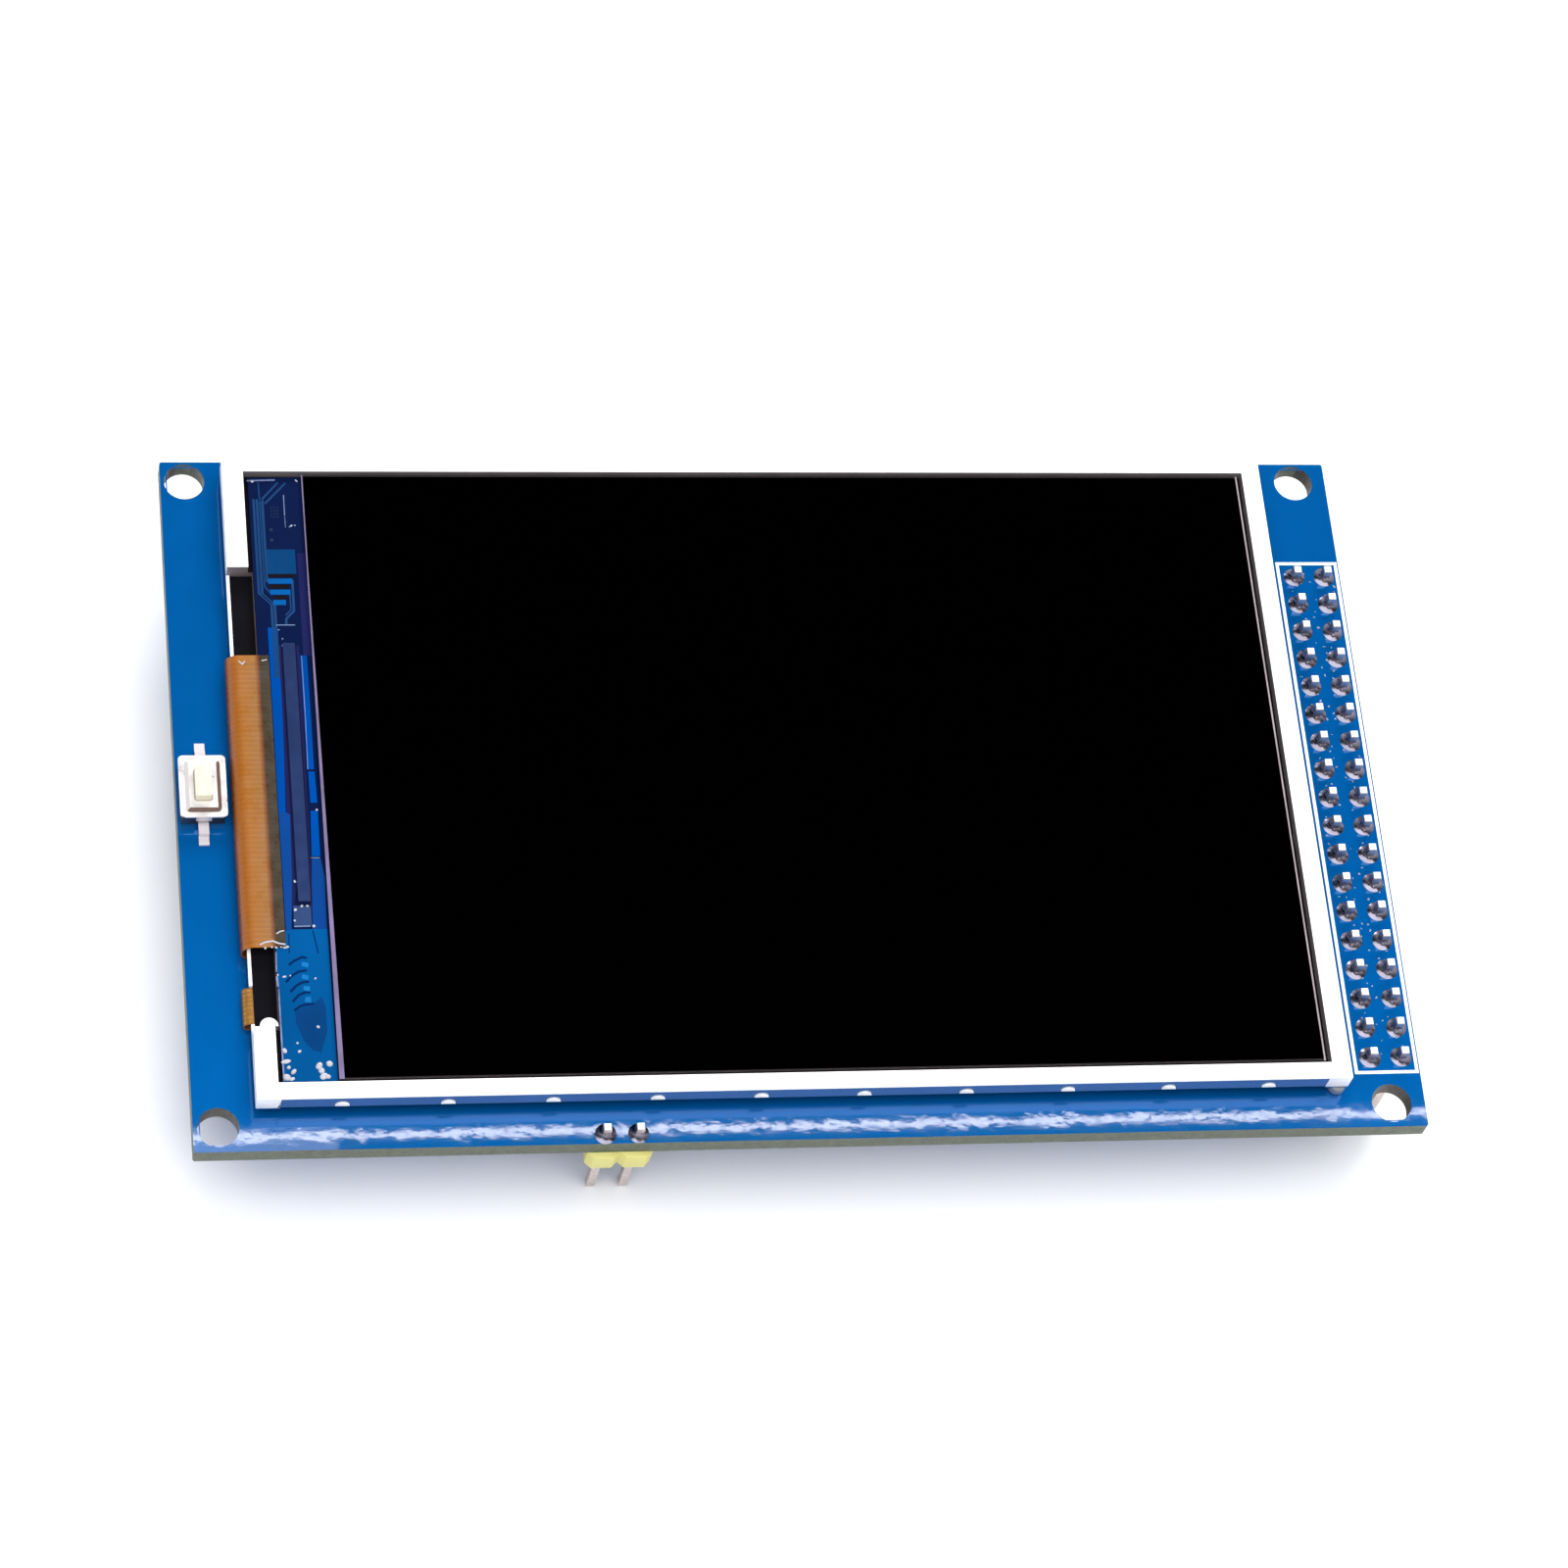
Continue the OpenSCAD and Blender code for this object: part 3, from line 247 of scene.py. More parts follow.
def piece(name, mesh, finish_name, body=BODY, replaces=(), smooth=40):
    """Puts a finished mesh into the scene as one piece that rides on a body."""
    if isinstance(mesh, bmesh.types.BMesh):
        bm, mesh = mesh, bpy.data.meshes.new(name)
        bm.to_mesh(mesh)
        bm.free()
    mesh.name = name
    made = bpy.data.objects.new(name, mesh)
    bpy.context.scene.collection.objects.link(made)
    if finish_name and not mesh.materials:
        mesh.materials.append(FINISHES[finish_name])
    if smooth:
        mesh.shade_smooth()
        mesh.set_sharp_from_angle(angle=math.radians(smooth))
    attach(made, body)
    if replaces:
        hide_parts(*replaces)
    return made


def merged(name):
    """The CAD node's mesh as whole faces, ready to be worked on."""
    bm = bmesh.new()
    bm.from_mesh(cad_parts[name].data)
    bmesh.ops.remove_doubles(bm, verts=bm.verts, dist=WELD)
    bmesh.ops.dissolve_limit(bm, angle_limit=math.radians(0.5), verts=bm.verts, edges=bm.edges)
    return bm


def softened(name, finish_name, width, segments=2, body=BODY, smooth=40, inner=None):
    """A copy of a CAD node with its edges rounded by a width in mm, shown in its place.

    inner is (finish name, test on a face) for the faces that look different."""
    bm = merged(name)
    if inner:
        for face in bm.faces:
            face.material_index = int(inner[1](face))
    made = piece(name + "_soft", bm, finish_name, body, [name], smooth=0)
    if inner:
        made.data.materials.append(FINISHES[inner[0]])
    made.data.shade_smooth()
    edges = made.modifiers.new("round_edges", "BEVEL")
    edges.width = width * MM
    edges.segments = segments
    edges.limit_method = "ANGLE"
    edges.angle_limit = math.radians(smooth)
    edges.harden_normals = True
    edges.use_clamp_overlap = True
    return made


def islands(name):
    """(lowest corner, highest corner) of each separate solid of a CAD node."""
    bm = bmesh.new()
    bm.from_mesh(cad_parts[name].data)
    bmesh.ops.remove_doubles(bm, verts=bm.verts, dist=WELD)
    left, found = set(bm.verts), []
    while left:
        group, queue = set(), [left.pop()]
        while queue:
            vert = queue.pop()
            group.add(vert)
            near = [e.other_vert(vert) for e in vert.link_edges]
            fresh = [v for v in near if v in left]
            left.difference_update(fresh)
            queue.extend(fresh)
        found.append(tuple(Vector(f(v.co[i] for v in group) for i in range(3)) for f in (min, max)))
    bm.free()
    return sorted(found, key=lambda b: (round(b[0].x, 5), round(b[0].y, 5)))


def slab(bm, outline, z, thick):
    """Adds a flat closed solid to bm: an outline in metres, from z up by thick."""
    low = [bm.verts.new((x, y, z)) for x, y in outline]
    high = [bm.verts.new((x, y, z + thick)) for x, y in outline]
    bm.faces.new(reversed(low))
    bm.faces.new(high)
    for i in range(len(outline)):
        j = (i + 1) % len(outline)
        bm.faces.new((low[i], low[j], high[j], high[i]))


def strip(points, width, closed=False):
    """Outline pieces of a flat line of a width along points, mitred at its corners: one quad per stretch."""
    shortest_mitre = 0.4
    count = len(points)
    pts = [Vector(p) for p in points]
    left, right = [], []
    for i in range(count):
        before = pts[i] - pts[i - 1] if i or closed else pts[1] - pts[0]
        after = pts[(i + 1) % count] - pts[i] if i < count - 1 or closed else before
        a, b = before.normalized(), after.normalized()
        across = Vector((-(a + b).y, (a + b).x)).normalized()
        reach = width / 2 / max(shortest_mitre, across.dot(Vector((-a.y, a.x))))
        left.append(pts[i] + across * reach)
        right.append(pts[i] - across * reach)
    last = count if closed else count - 1
    return [[left[i], right[i], right[(i + 1) % count], left[(i + 1) % count]] for i in range(last)]


def lines(name, paths, z, thick, finish_name, at):
    """Flat lines in one piece. Each path is (width, points), in mm from the corner at."""
    bm = bmesh.new()
    for width, points in paths:
        placed = [(at[0] + x * MM, at[1] + y * MM) for x, y in points]
        for quad in strip(placed, width * MM):
            slab(bm, quad, z, thick * MM)
    bmesh.ops.recalc_face_normals(bm, faces=bm.faces)
    piece(name, bm, finish_name, smooth=0)


def box_outline(x0, y0, x1, y1):
    return [(x0, y0), (x1, y0), (x1, y1), (x0, y1)]


# ---------------------------------------------------------------- board

BOARD_LOW, BOARD_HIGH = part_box("circuit_board")
BOARD_TOP = BOARD_HIGH.z
# Centres of the mounting holes from the origin
HOLE_X, HOLE_Y = 45.7 * MM, 28 * MM


def make_board():
    """The board with its blue mask on both faces and bare epoxy at its edges and in its holes, whose walls
    are painted darker as shade.
    """
    rim = 0.3 * MM
    bm = merged("circuit_board")
    for face in bm.faces:
        spot = face.calc_center_median()
        at_rim = min(spot.x - BOARD_LOW.x, BOARD_HIGH.x - spot.x, spot.y - BOARD_LOW.y,
                     BOARD_HIGH.y - spot.y) < rim
        face.material_index = 0 if abs(face.normal.z) > 0.5 else 1 if at_rim else 2
    board = piece("board_dressed", bm, None, replaces=["circuit_board"], smooth=0)
    board.data.materials.append(FINISHES["blue_mask"])
    board.data.materials.append(FINISHES["epoxy_edge"])
    board.data.materials.append(FINISHES["hole_wall_shade"])
    board.data.shade_smooth()
    board.data.set_sharp_from_angle(angle=math.radians(35))


def make_silkscreen():
    """The white ink outline round the double-row header."""
    ink, raised, overhang = 0.26 * MM, 0.012 * MM, 0.15 * MM
    low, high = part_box("header_block")
    ring = box_outline(low.x, low.y, high.x - overhang, high.y)
    bm = bmesh.new()
    for quad in strip(ring, ink, closed=True):
        slab(bm, quad, BOARD_TOP, raised)
    bmesh.ops.recalc_face_normals(bm, faces=bm.faces)
    piece("header_outline_ink", bm, "silk_ink", smooth=0)


def make_pour_edge():
    """The faint step in the mask where the copper under it ends: along the edges and round the holes."""
    inset, clear, line = 0.5 * MM, 2.2 * MM, 0.1 * MM
    edge_step, ring_step = 0.01 * MM, 0.012 * MM
    stretches = 64
    x0, x1 = BOARD_LOW.x + inset, BOARD_HIGH.x - inset
    y0, y1 = BOARD_LOW.y + inset, BOARD_HIGH.y - inset
    bm = bmesh.new()
    for quad in strip(box_outline(x0, y0, x1, y1), line, closed=True):
        slab(bm, quad, BOARD_TOP, edge_step)
    for hx in (-HOLE_X, HOLE_X):
        for hy in (-HOLE_Y, HOLE_Y):
            ring = [(hx + clear * math.cos(a), hy + clear * math.sin(a))
                    for a in (math.tau * i / stretches for i in range(stretches + 1))]
            for start, end in zip(ring, ring[1:]):
                if x0 < start[0] < x1 and y0 < start[1] < y1 and x0 < end[0] < x1 and y0 < end[1] < y1:
                    for quad in strip([start, end], line):
                        slab(bm, quad, BOARD_TOP, ring_step)
    bmesh.ops.recalc_face_normals(bm, faces=bm.faces)
    piece("pour_edge", bm, "blue_mask", smooth=0)


# ---------------------------------------------------------------- display

TRAY_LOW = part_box("steel_tray")[0]
CORNER = (TRAY_LOW.x, TRAY_LOW.y)
LEDGE_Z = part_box("rear_glass")[1].z
# How far the panel ribbon's copper lines stand out of its film
RIBBON_COPPER_RISE = 0.012 * MM

# Artwork of the glass ledge: (width, points), in mm from the display's corner
BUS_BARS = [
    (0.19, [(2.42, 52.1), (2.42, 43.6), (3.35, 42.6), (3.35, 36)]),
    (0.2, [(2.68, 52.1), (2.68, 43.5), (3.6, 42.5), (3.6, 36)]),
    (0.11, [(2.9, 52.1), (2.9, 44.2), (3.25, 43.68), (4.85, 43.68), (4.85, 42.1), (4.4, 41.6)]),
    (0.2, [(3.11, 52.1), (3.11, 44.67), (5.1, 44.67), (5.08, 42.0), (4.45, 41.3), (4.4, 40.7)]),
    (0.1, [(2.87, 53.7), (2.9, 52.0)]),
    (0.16, [(3.0, 52.0), (4.44, 53.66)]),
    (0.16, [(3.3, 51.7), (5.03, 53.6)]),
]
BRIGHT_BARS = [
    (0.46, [(3.2, 44.67), (5.1, 44.67)]),
    (0.46, [(3.3, 43.68), (4.9, 43.68)]),
    (0.46, [(3.5, 42.75), (4.5, 42.75)]),
]
DARK_GAPS = [
    (0.28, [(3.26, 45.16), (5.35, 45.16)]),
    (0.36, [(3.3, 44.18), (4.8, 44.18)]),
    (0.36, [(3.6, 43.22), (4.66, 43.22)]),
]
PADS = [(2.2, [(3.21, 46.43), (5.45, 46.43)])]
# Flat areas of the ledge: finish, height in mm, corners in mm from the display's corner
AREAS = {
    "ledge_violet": (0.001, [[(5.6, 47.2), (6.25, 47.2), (6.25, 38), (5.6, 38)],
                             [(3.66, 38.9), (4.14, 38.9), (4.07, 18.3), (3.6, 16.0), (3.47, 16.0)],
                             [(4.99, 38.9), (5.3, 38.9), (5.1, 14.3), (4.94, 14.3)]]),
    "ledge_low": (0.001, [[(2.1, 1.62), (6.2, 1.62), (6.1, 14.3), (5.0, 14.3), (2.96, 14.3), (2.1, 12.6)]]),
    "ledge_column": (0.002, [[(2.95, 40.5), (3.72, 40.5), (3.68, 32.3), (3.47, 24.3), (2.93, 24.3)],
                             [(5.34, 38.0), (5.86, 38.0), (5.88, 32.3), (5.86, 28.0), (5.36, 28.0)],
                             [(5.4, 27.8), (5.9, 27.8), (5.95, 25.1), (5.43, 25.1)],
                             [(5.39, 24.4), (5.94, 24.4), (5.92, 20.5), (5.27, 20.5)]]),
    "ledge_shade": (0.002, [[(2.93, 24.3), (3.47, 24.3), (3.79, 24.1), (3.64, 18.7), (3.37, 14.2),
                             (2.95, 14.2)],
                            [(5.26, 20.3), (5.93, 20.3), (6.16, 18.7), (6.07, 14.3), (5.03, 14.3),
                             (5.14, 18.3)]]),
    "ledge_slate": (0.003, [[(3.63, 16.3), (4.94, 16.3), (4.94, 14.65), (3.59, 14.67)]]),
    "ledge_deep": (0.003, [[(3.25, 7.4), (4.14, 7.9), (4.81, 8.16), (5.37, 8.61), (5.6, 7.8), (5.62, 5.7),
                            (5.06, 4.0), (4.44, 4.2), (3.86, 4.9), (3.3, 6.4)]]),
    "ledge_head": (0.006, [[(4.03, 11.57), (4.52, 11.45), (4.46, 11.08), (3.95, 11.23)],
                           [(3.99, 10.54), (4.46, 10.4), (4.42, 10.03), (3.92, 10.18)],
                           [(4.06, 9.54), (4.51, 9.49), (4.49, 9.08), (4.0, 9.22)],
                           [(4.14, 8.63), (4.55, 8.62), (4.52, 8.12), (4.03, 8.22)]]),
}
FAN_GAPS = [
    (0.2, [(3.01, 11.3), (3.35, 11.6), (3.78, 11.83), (4.07, 11.96), (4.4, 11.86)]),
    (0.2, [(2.72, 9.88), (3.2, 10.42), (3.72, 10.75), (4.34, 10.84)]),
    (0.2, [(3.01, 9.06), (3.45, 9.55), (3.91, 9.83), (4.46, 9.9)]),
    (0.2, [(3.13, 8.24), (3.61, 8.78), (4.03, 8.98), (4.53, 9.0)]),
    (0.2, [(3.21, 7.51), (3.72, 7.87), (4.14, 8.0), (4.73, 8.05)]),
    (0.08, [(3.15, 13.94), (3.1, 12.3)]),
    (0.1, [(4.98, 14.19), (5.14, 13.27), (5.31, 12.26)]),
]
DIM_MARKS = [(0.12, [(x, 50.5 + 0.28 * row), (x + 0.12, 50.5 + 0.28 * row)])
             for x in (3.72, 3.96, 4.2) for row in range(4)]
DIM_MARKS += [(0.26, [(3.55, y), (3.8, y)]) for y in (49.32, 48.39)]
# Painted highlights: glints and glare lines on the ledge and the ribbon, as (width, points) in mm from the
# display's corner
GLINTS = [
    (0.07, [(4.82, 52.5), (4.81, 50.6)]),
    (0.06, [(3.6, 40.73), (5.1, 40.73)]),
    (0.09, [(4.08, 39.06), (4.98, 39.06)]),
    (0.1, [(5.1, 49.6), (5.22, 49.6)]),
    (0.1, [(5.5, 49.72), (5.64, 49.72)]),
    (0.06, [(5.21, 20.37), (5.87, 20.36)]),
    (0.05, [(5.45, 38.0), (5.45, 32.3), (5.38, 28.0)]),
    (0.1, [(3.6, 14.55), (4.84, 14.57)]),
]
GLINTS += [(0.08, [(4.78, y), (4.86, y)]) for y in (50.4, 50.2, 50.0, 49.8, 49.6)]
GLINTS += [(0.1, [(x, y), (x + 0.1, y)]) for x, y in ((3.75, 40.3), (4.0, 39.5), (3.95, 38.9), (4.0, 38.45))]
EDGE_GLARE = [
    (0.13, [(1.98, 53.8), (4.2, 53.87)]),
    (0.1, [(2.1, 12.4), (2.05, 10.76)]),
    (0.16, [(2.06, 10.4), (2.1, 9.5)]),
    (0.12, [(2.13, 9.3), (2.13, 5.19), (2.13, 1.7)]),
]
RIBBON_GLARE = [
    (0.1, [(2.2, 13.9), (2.5, 14.1), (2.8, 14.15)]),
    (0.13, [(0.9, 13.0), (1.3, 13.2), (1.9, 13.3), (2.3, 13.1), (2.85, 13.0)]),
    (0.1, [(0.5, 37.5), (0.8, 37.2), (1.0, 37.5)]),
    (0.1, [(2.3, 37.5), (2.7, 37.6)]),
]
# Places of dried glue, in mm from the display's corner; at the ribbon's end only x is given. The pale beads
# on the ledge and at the ribbon's end also stand as painted glints.
RIBBON_END_GLUE_GLINTS = (1.3, 1.8, 2.1, 2.5, 2.8, 3.0)
GLUE_GLINT_BEADS = [(2.14, 10.5), (2.62, 10.34), (3.08, 10.42), (4.96, 10.16), (4.94, 6.12), (4.17, 16.74),
         (4.75, 16.73), (4.27, 16.27), (4.69, 16.27), (3.76, 15.96), (3.66, 15.04), (3.85, 18.36),
         (5.09, 14.56), (3.31, 4.81), (3.43, 4.12), (5.88, 24.48), (5.3, 49.7), (2.4, 53.75), (5.9, 53.8)]
LUMPS = [(2.32, 4.2), (2.36, 3.3), (2.55, 2.8), (2.9, 2.45), (2.36, 2.0), (2.75, 1.85), (5.63, 3.05),
         (4.84, 2.9), (5.0, 2.5), (5.15, 2.04), (5.45, 2.0)]
CHIP_EDGES = [
    (0.05, [(3.92, 39.0), (3.9, 16.5)]),
    (0.05, [(5.05, 39.0), (5.03, 16.5)]),
]


def areas(name, finish_name, thick, outlines):
    """Flat areas on the glass ledge in one piece."""
    bm = bmesh.new()
    for outline in outlines:
        slab(bm, [(CORNER[0] + x * MM, CORNER[1] + y * MM) for x, y in outline], LEDGE_Z, thick * MM)
    bmesh.ops.recalc_face_normals(bm, faces=bm.faces)
    piece(name, bm, finish_name, smooth=0)


def make_ledge_artwork():
    """Artwork, dried glue and painted highlights on the bare ledge of the rear glass and the ribbon's end; a
    thicker layer covers a thinner one.
    """
    on_glass = dict(z=LEDGE_Z, at=CORNER)
    for finish_name, (thick, outlines) in AREAS.items():
        areas(finish_name + "_areas", finish_name, thick, outlines)
    lines("ledge_pads", PADS, thick=0.003, finish_name="ledge_pad", **on_glass)
    lines("ledge_dark_gaps", DARK_GAPS + CHIP_EDGES, thick=0.004, finish_name="ledge_dark", **on_glass)
    lines("ledge_bus_bars", BUS_BARS, thick=0.005, finish_name="ledge_metal", **on_glass)
    lines("ledge_bright_bars", BRIGHT_BARS, thick=0.006, finish_name="ledge_bright", **on_glass)
    lines("ledge_fan_gaps", FAN_GAPS, thick=0.005, finish_name="ledge_gap", **on_glass)
    lines("ledge_dim_marks", DIM_MARKS, thick=0.004, finish_name="ledge_dim", **on_glass)
    lines("ledge_glints", GLINTS, thick=0.01, finish_name="ledge_glint", **on_glass)
    lines("ledge_edge_glare", EDGE_GLARE, thick=0.01, finish_name="edge_glare", **on_glass)
    for name, spots, size in (("ledge_glue_glints", GLUE_GLINT_BEADS, 0.11), ("corner_lumps", LUMPS, 0.26)):
        places = [(CORNER[0] + x * MM, CORNER[1] + y * MM, LEDGE_Z) for x, y in spots]
        tree = bead_tree("pale_glue_and_glints", Radius=size * MM, Seed=5)
        piece(name, grown(tree, points_mesh(places)), None, smooth=60)
    above_glass = 0.06 * MM
    ends = [(CORNER[0] + x * MM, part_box("panel_flex")[0].y, LEDGE_Z + above_glass)
            for x in RIBBON_END_GLUE_GLINTS]
    lines("ribbon_glare", RIBBON_GLARE, thick=0.004, finish_name="pale_glue_and_glints",
          z=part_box("panel_flex")[1].z + RIBBON_COPPER_RISE, at=CORNER)
    piece("ribbon_end_glue_glints", grown(bead_tree("pale_glue_and_glints", Radius=0.14 * MM, Seed=9), points_mesh(ends)),
          None, smooth=60)


def make_cut_edges():
    """The bare edges of the front glass beside its film, in pale tones that are painted highlights; the left
    one is wider towards the front.
    """
    low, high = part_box("front_glass")
    film_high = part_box("front_polariser")[1]
    wide, narrow, straight = 0.4 * MM, 0.1 * MM, 9 * MM
    proud, gap = 0.01 * MM, 0.01 * MM
    bm = bmesh.new()
    slab(bm, [(low.x, low.y), (low.x + wide, low.y), (low.x + narrow, high.y - straight),
              (low.x + narrow, high.y), (low.x, high.y)], film_high.z, proud)
    bmesh.ops.recalc_face_normals(bm, faces=bm.faces)
    piece("front_glass_cut_edge", bm, "glass_cut_edge_highlight", smooth=0)
    bm = bmesh.new()
    slab(bm, box_outline(film_high.x + gap, low.y, high.x, high.y), high.z, proud)
    bmesh.ops.recalc_face_normals(bm, faces=bm.faces)
    piece("front_glass_right_margin", bm, "pink_edge_highlight", smooth=0)


def make_ribbon_finishes():
    """The panel ribbon darkens where it lies on the glass."""
    left = FLEX_LOW.x
    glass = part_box("rear_glass")[0].x
    stops = [(left, (150, 78, 14)), (left + 0.25 * MM, (196, 108, 16)), (left + 1.2 * MM, (208, 130, 40)),
             (glass - 0.35 * MM, (196, 134, 66)), (glass - 0.05 * MM, (150, 78, 30)),
             (glass + 0.1 * MM, (72, 56, 28)), (FLEX_HIGH.x, (58, 48, 26))]
    banded("ribbon_film", stops, 0.3, grain=1200, relief=0.0008, IOR=1.5)
    banded("ribbon_copper", [(x, [c * 0.95 for c in rgb]) for x, rgb in stops], 0.3, relief=0.0)


def make_ledge_finishes():
    finish("ledge_metal", (38, 82, 138), 0.3, vary=0.1, patch=300, relief=0, IOR=1.05)
    finish("ledge_bright", (14, 108, 192), 0.3, vary=0.15, patch=300, relief=0, IOR=1.05)
    finish("ledge_dark", (34, 28, 36), 0.4, relief=0, IOR=1.05)
    finish("ledge_pad", (18, 80, 140), 0.3, vary=0.12, patch=200, relief=0, IOR=1.05)
    finish("ledge_violet", (40, 44, 104), 0.25, vary=0.15, patch=90, relief=0, IOR=1.05)
    finish("ledge_low", (8, 104, 180), 0.15, vary=0.2, patch=60, relief=0, IOR=1.05)
    finish("ledge_column", (0, 92, 198), 0.2, vary=0.2, patch=80, relief=0, IOR=1.05)
    finish("ledge_shade", (22, 84, 172), 0.2, vary=0.15, patch=90, relief=0, IOR=1.05)
    finish("ledge_slate", (64, 90, 142), 0.3, vary=0.1, patch=300, relief=0, IOR=1.05)
    finish("ledge_gap", (12, 50, 112), 0.25, vary=0.2, patch=200, relief=0, IOR=1.05)
    finish("ledge_deep", (16, 80, 150), 0.25, vary=0.2, patch=200, relief=0, IOR=1.05)
    finish("ledge_head", (34, 140, 220), 0.25, vary=0.2, patch=400, relief=0, IOR=1.05)
    finish("ledge_dim", (46, 66, 100), 0.3, relief=0, IOR=1.05)
    finish("ledge_glint", (150, 178, 226), 0.2, vary=0.2, patch=500, relief=0, IOR=1.05)
    # Painted highlights on the front glass's bare edges
    finish("glass_cut_edge_highlight", (140, 122, 172), 0.4, vary=0.25, patch=300, relief=0.002)
    finish("pink_edge_highlight", (214, 196, 200), 0.3, vary=0.2, patch=300, relief=0.002)
    finish("edge_glare", (140, 158, 214), 0.3, vary=0.4, patch=900, relief=0)
    # Pale glue, also used for painted glints and glare lines
    finish("pale_glue_and_glints", (236, 238, 250), 0.08, vary=0.05, patch=500, relief=0.01)
    # Flux residue, pale enough to stand also as painted glints
    finish("flux", (196, 206, 240), 0.08, vary=0.1, relief=0, Alpha=0.75)


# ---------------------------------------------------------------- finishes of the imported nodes

NODE_FINISHES = {
    "foam_tape": "foam", "reflector_film": "film", "light_guide": "guide", "diffuser_film": "film",
    "prism_film": "film", "lamps": "lamp", "notch_tape": "black_tape", "rim_tape": "black_tape",
    "rear_polariser": "dark_film", "rear_glass": "ledge_glass", "front_glass": "front_glass",
    "front_polariser": "dark_film", "driver_chip": "chip", "flex_solder": "solder",
    "corner_glue": "clear_glue", "switch_dome": "bright_steel", "switch_terminals": "terminal_tin",
    "card_contacts": "gilded", "buffer_leads": "lead_metal", "regulator_leads": "lead_metal",
    "steel_tray": "tray_steel", "panel_flex": "ribbon_film", "lamp_flex": "amber_film",
    "solder_joints": "solder", "header_pins": "tinned_pin", "link_header_pins": "tinned_pin",
}


def dress_nodes():
    for name, finish_name in NODE_FINISHES.items():
        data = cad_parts[name].data
        data.materials.clear()
        data.materials.append(FINISHES[finish_name])


def in_pocket(face):
    """True for the inner walls of the frame, down beside the glass, which are painted grey as shade."""
    rim = 1 * MM
    low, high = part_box("lcd_frame")
    spot = face.calc_center_median()
    inside = min(spot.x - low.x, high.x - spot.x, spot.y - low.y, high.y - spot.y) > rim
    return abs(face.normal.z) < 0.5 and inside


def on_panel_slope(face):
    """Whether a face of the switch cover is a right or front side of its raised panel."""
    below_panel = 0.25 * MM
    raised = min(vert.co.z for vert in face.verts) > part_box("switch_cover")[1].z - below_panel
    return raised and face.normal.z < 0.95 and (face.normal.x > 0.3 or face.normal.y < -0.3)


def on_front_skirt(face):
    """Whether a face of the switch cover is in its own shade, at the front beside the tab."""
    half_tab = 0.5 * MM
    low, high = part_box("switch_cover")
    aside = abs(face.calc_center_median().x - (low.x + high.x) / 2) > half_tab
    return aside and face.normal.y < -0.6 and not on_panel_slope(face)


def make_switch_cover():
    """The switch's steel cover, painted darker as shade on the sides of its panel and on its skirt, which
    lie in shade.
    """
    cover = merged("switch_cover")
    for face in cover.faces:
        face.material_index = 1 if on_panel_slope(face) else 2 if on_front_skirt(face) else 0
    made = piece("switch_cover_plate", cover, "bright_steel",
                 replaces=["switch_cover"], smooth=0)
    for shaded in ("panel_slope_shade", "shaded_steel"):
        made.data.materials.append(FINISHES[shaded])


def soften_nodes():
    softened("lcd_frame", "white_moulding", 0.06, inner=("pocket_wall_shade", in_pocket))
    softened("header_block", "yellow_moulding", 0.08)
    softened("link_header_block", "yellow_moulding", 0.08)
    softened("switch_base", "black_moulding", 0.05)
    make_switch_cover()
    softened("switch_plunger", "ivory_moulding", 0.1, body="plunger")
    softened("card_socket_body", "black_moulding", 0.05)
    softened("card_socket_shell", "shell_steel", 0.06)
    softened("buffer_bodies", "black_moulding", 0.05)
    softened("regulator_body", "black_moulding", 0.06)
    softened("capacitors", "capacitor_body", 0.05)
    softened("resistors", "resistor_body", 0.03)


# ---------------------------------------------------------------- geometry node trees

class Tree:
    """A Geometry Nodes tree with named number inputs, built node by node."""

    def __init__(self, name, **inputs):
        self.group = bpy.data.node_groups.new(name, "GeometryNodeTree")
        sockets = self.group.interface
        sockets.new_socket("Geometry", in_out="INPUT", socket_type="NodeSocketGeometry")
        for label, value in inputs.items():
            kind = "NodeSocketInt" if isinstance(value, int) else "NodeSocketFloat"
            sockets.new_socket(label, in_out="INPUT", socket_type=kind)
        sockets.new_socket("Geometry", in_out="OUTPUT", socket_type="NodeSocketGeometry")
        self.values = inputs
        self.given = self.group.nodes.new("NodeGroupInput").outputs
        self.end = self.group.nodes.new("NodeGroupOutput")

    def add(self, kind, inputs=(), **settings):
        return node(self.group, kind, inputs, **settings)

    def calc(self, kind, *terms):
        """The result of a math node."""
        made = self.add("ShaderNodeMath", {i: term for i, term in enumerate(terms)}, operation=kind)
        return made.outputs[0]

    def close(self, geometry, finish_name):
        whole = self.add("GeometryNodeRealizeInstances", {"Geometry": geometry}).outputs[0]
        painted = self.add("GeometryNodeSetMaterial", {"Geometry": whole})
        painted.inputs["Material"].default_value = FINISHES[finish_name]
        self.group.links.new(painted.outputs[0], self.end.inputs[0])


def grown(tree, start):
    """The plain mesh that a tree makes from a starting mesh or curve."""
    seedling = bpy.data.objects.new("seedling", start)
    bpy.context.scene.collection.objects.link(seedling)
    modifier = seedling.modifiers.new("grow", "NODES")
    modifier.node_group = tree.group
    for socket in tree.group.interface.items_tree:
        if socket.in_out == "INPUT" and socket.name in tree.values:
            modifier[socket.identifier] = tree.values[socket.name]
    graph = bpy.context.evaluated_depsgraph_get()
    made = bpy.data.meshes.new_from_object(seedling.evaluated_get(graph), depsgraph=graph)
    bpy.data.objects.remove(seedling)
    return made


def points_mesh(places):
    made = bpy.data.meshes.new("places")
    made.from_pydata([tuple(p) for p in places], [], [])
    return made


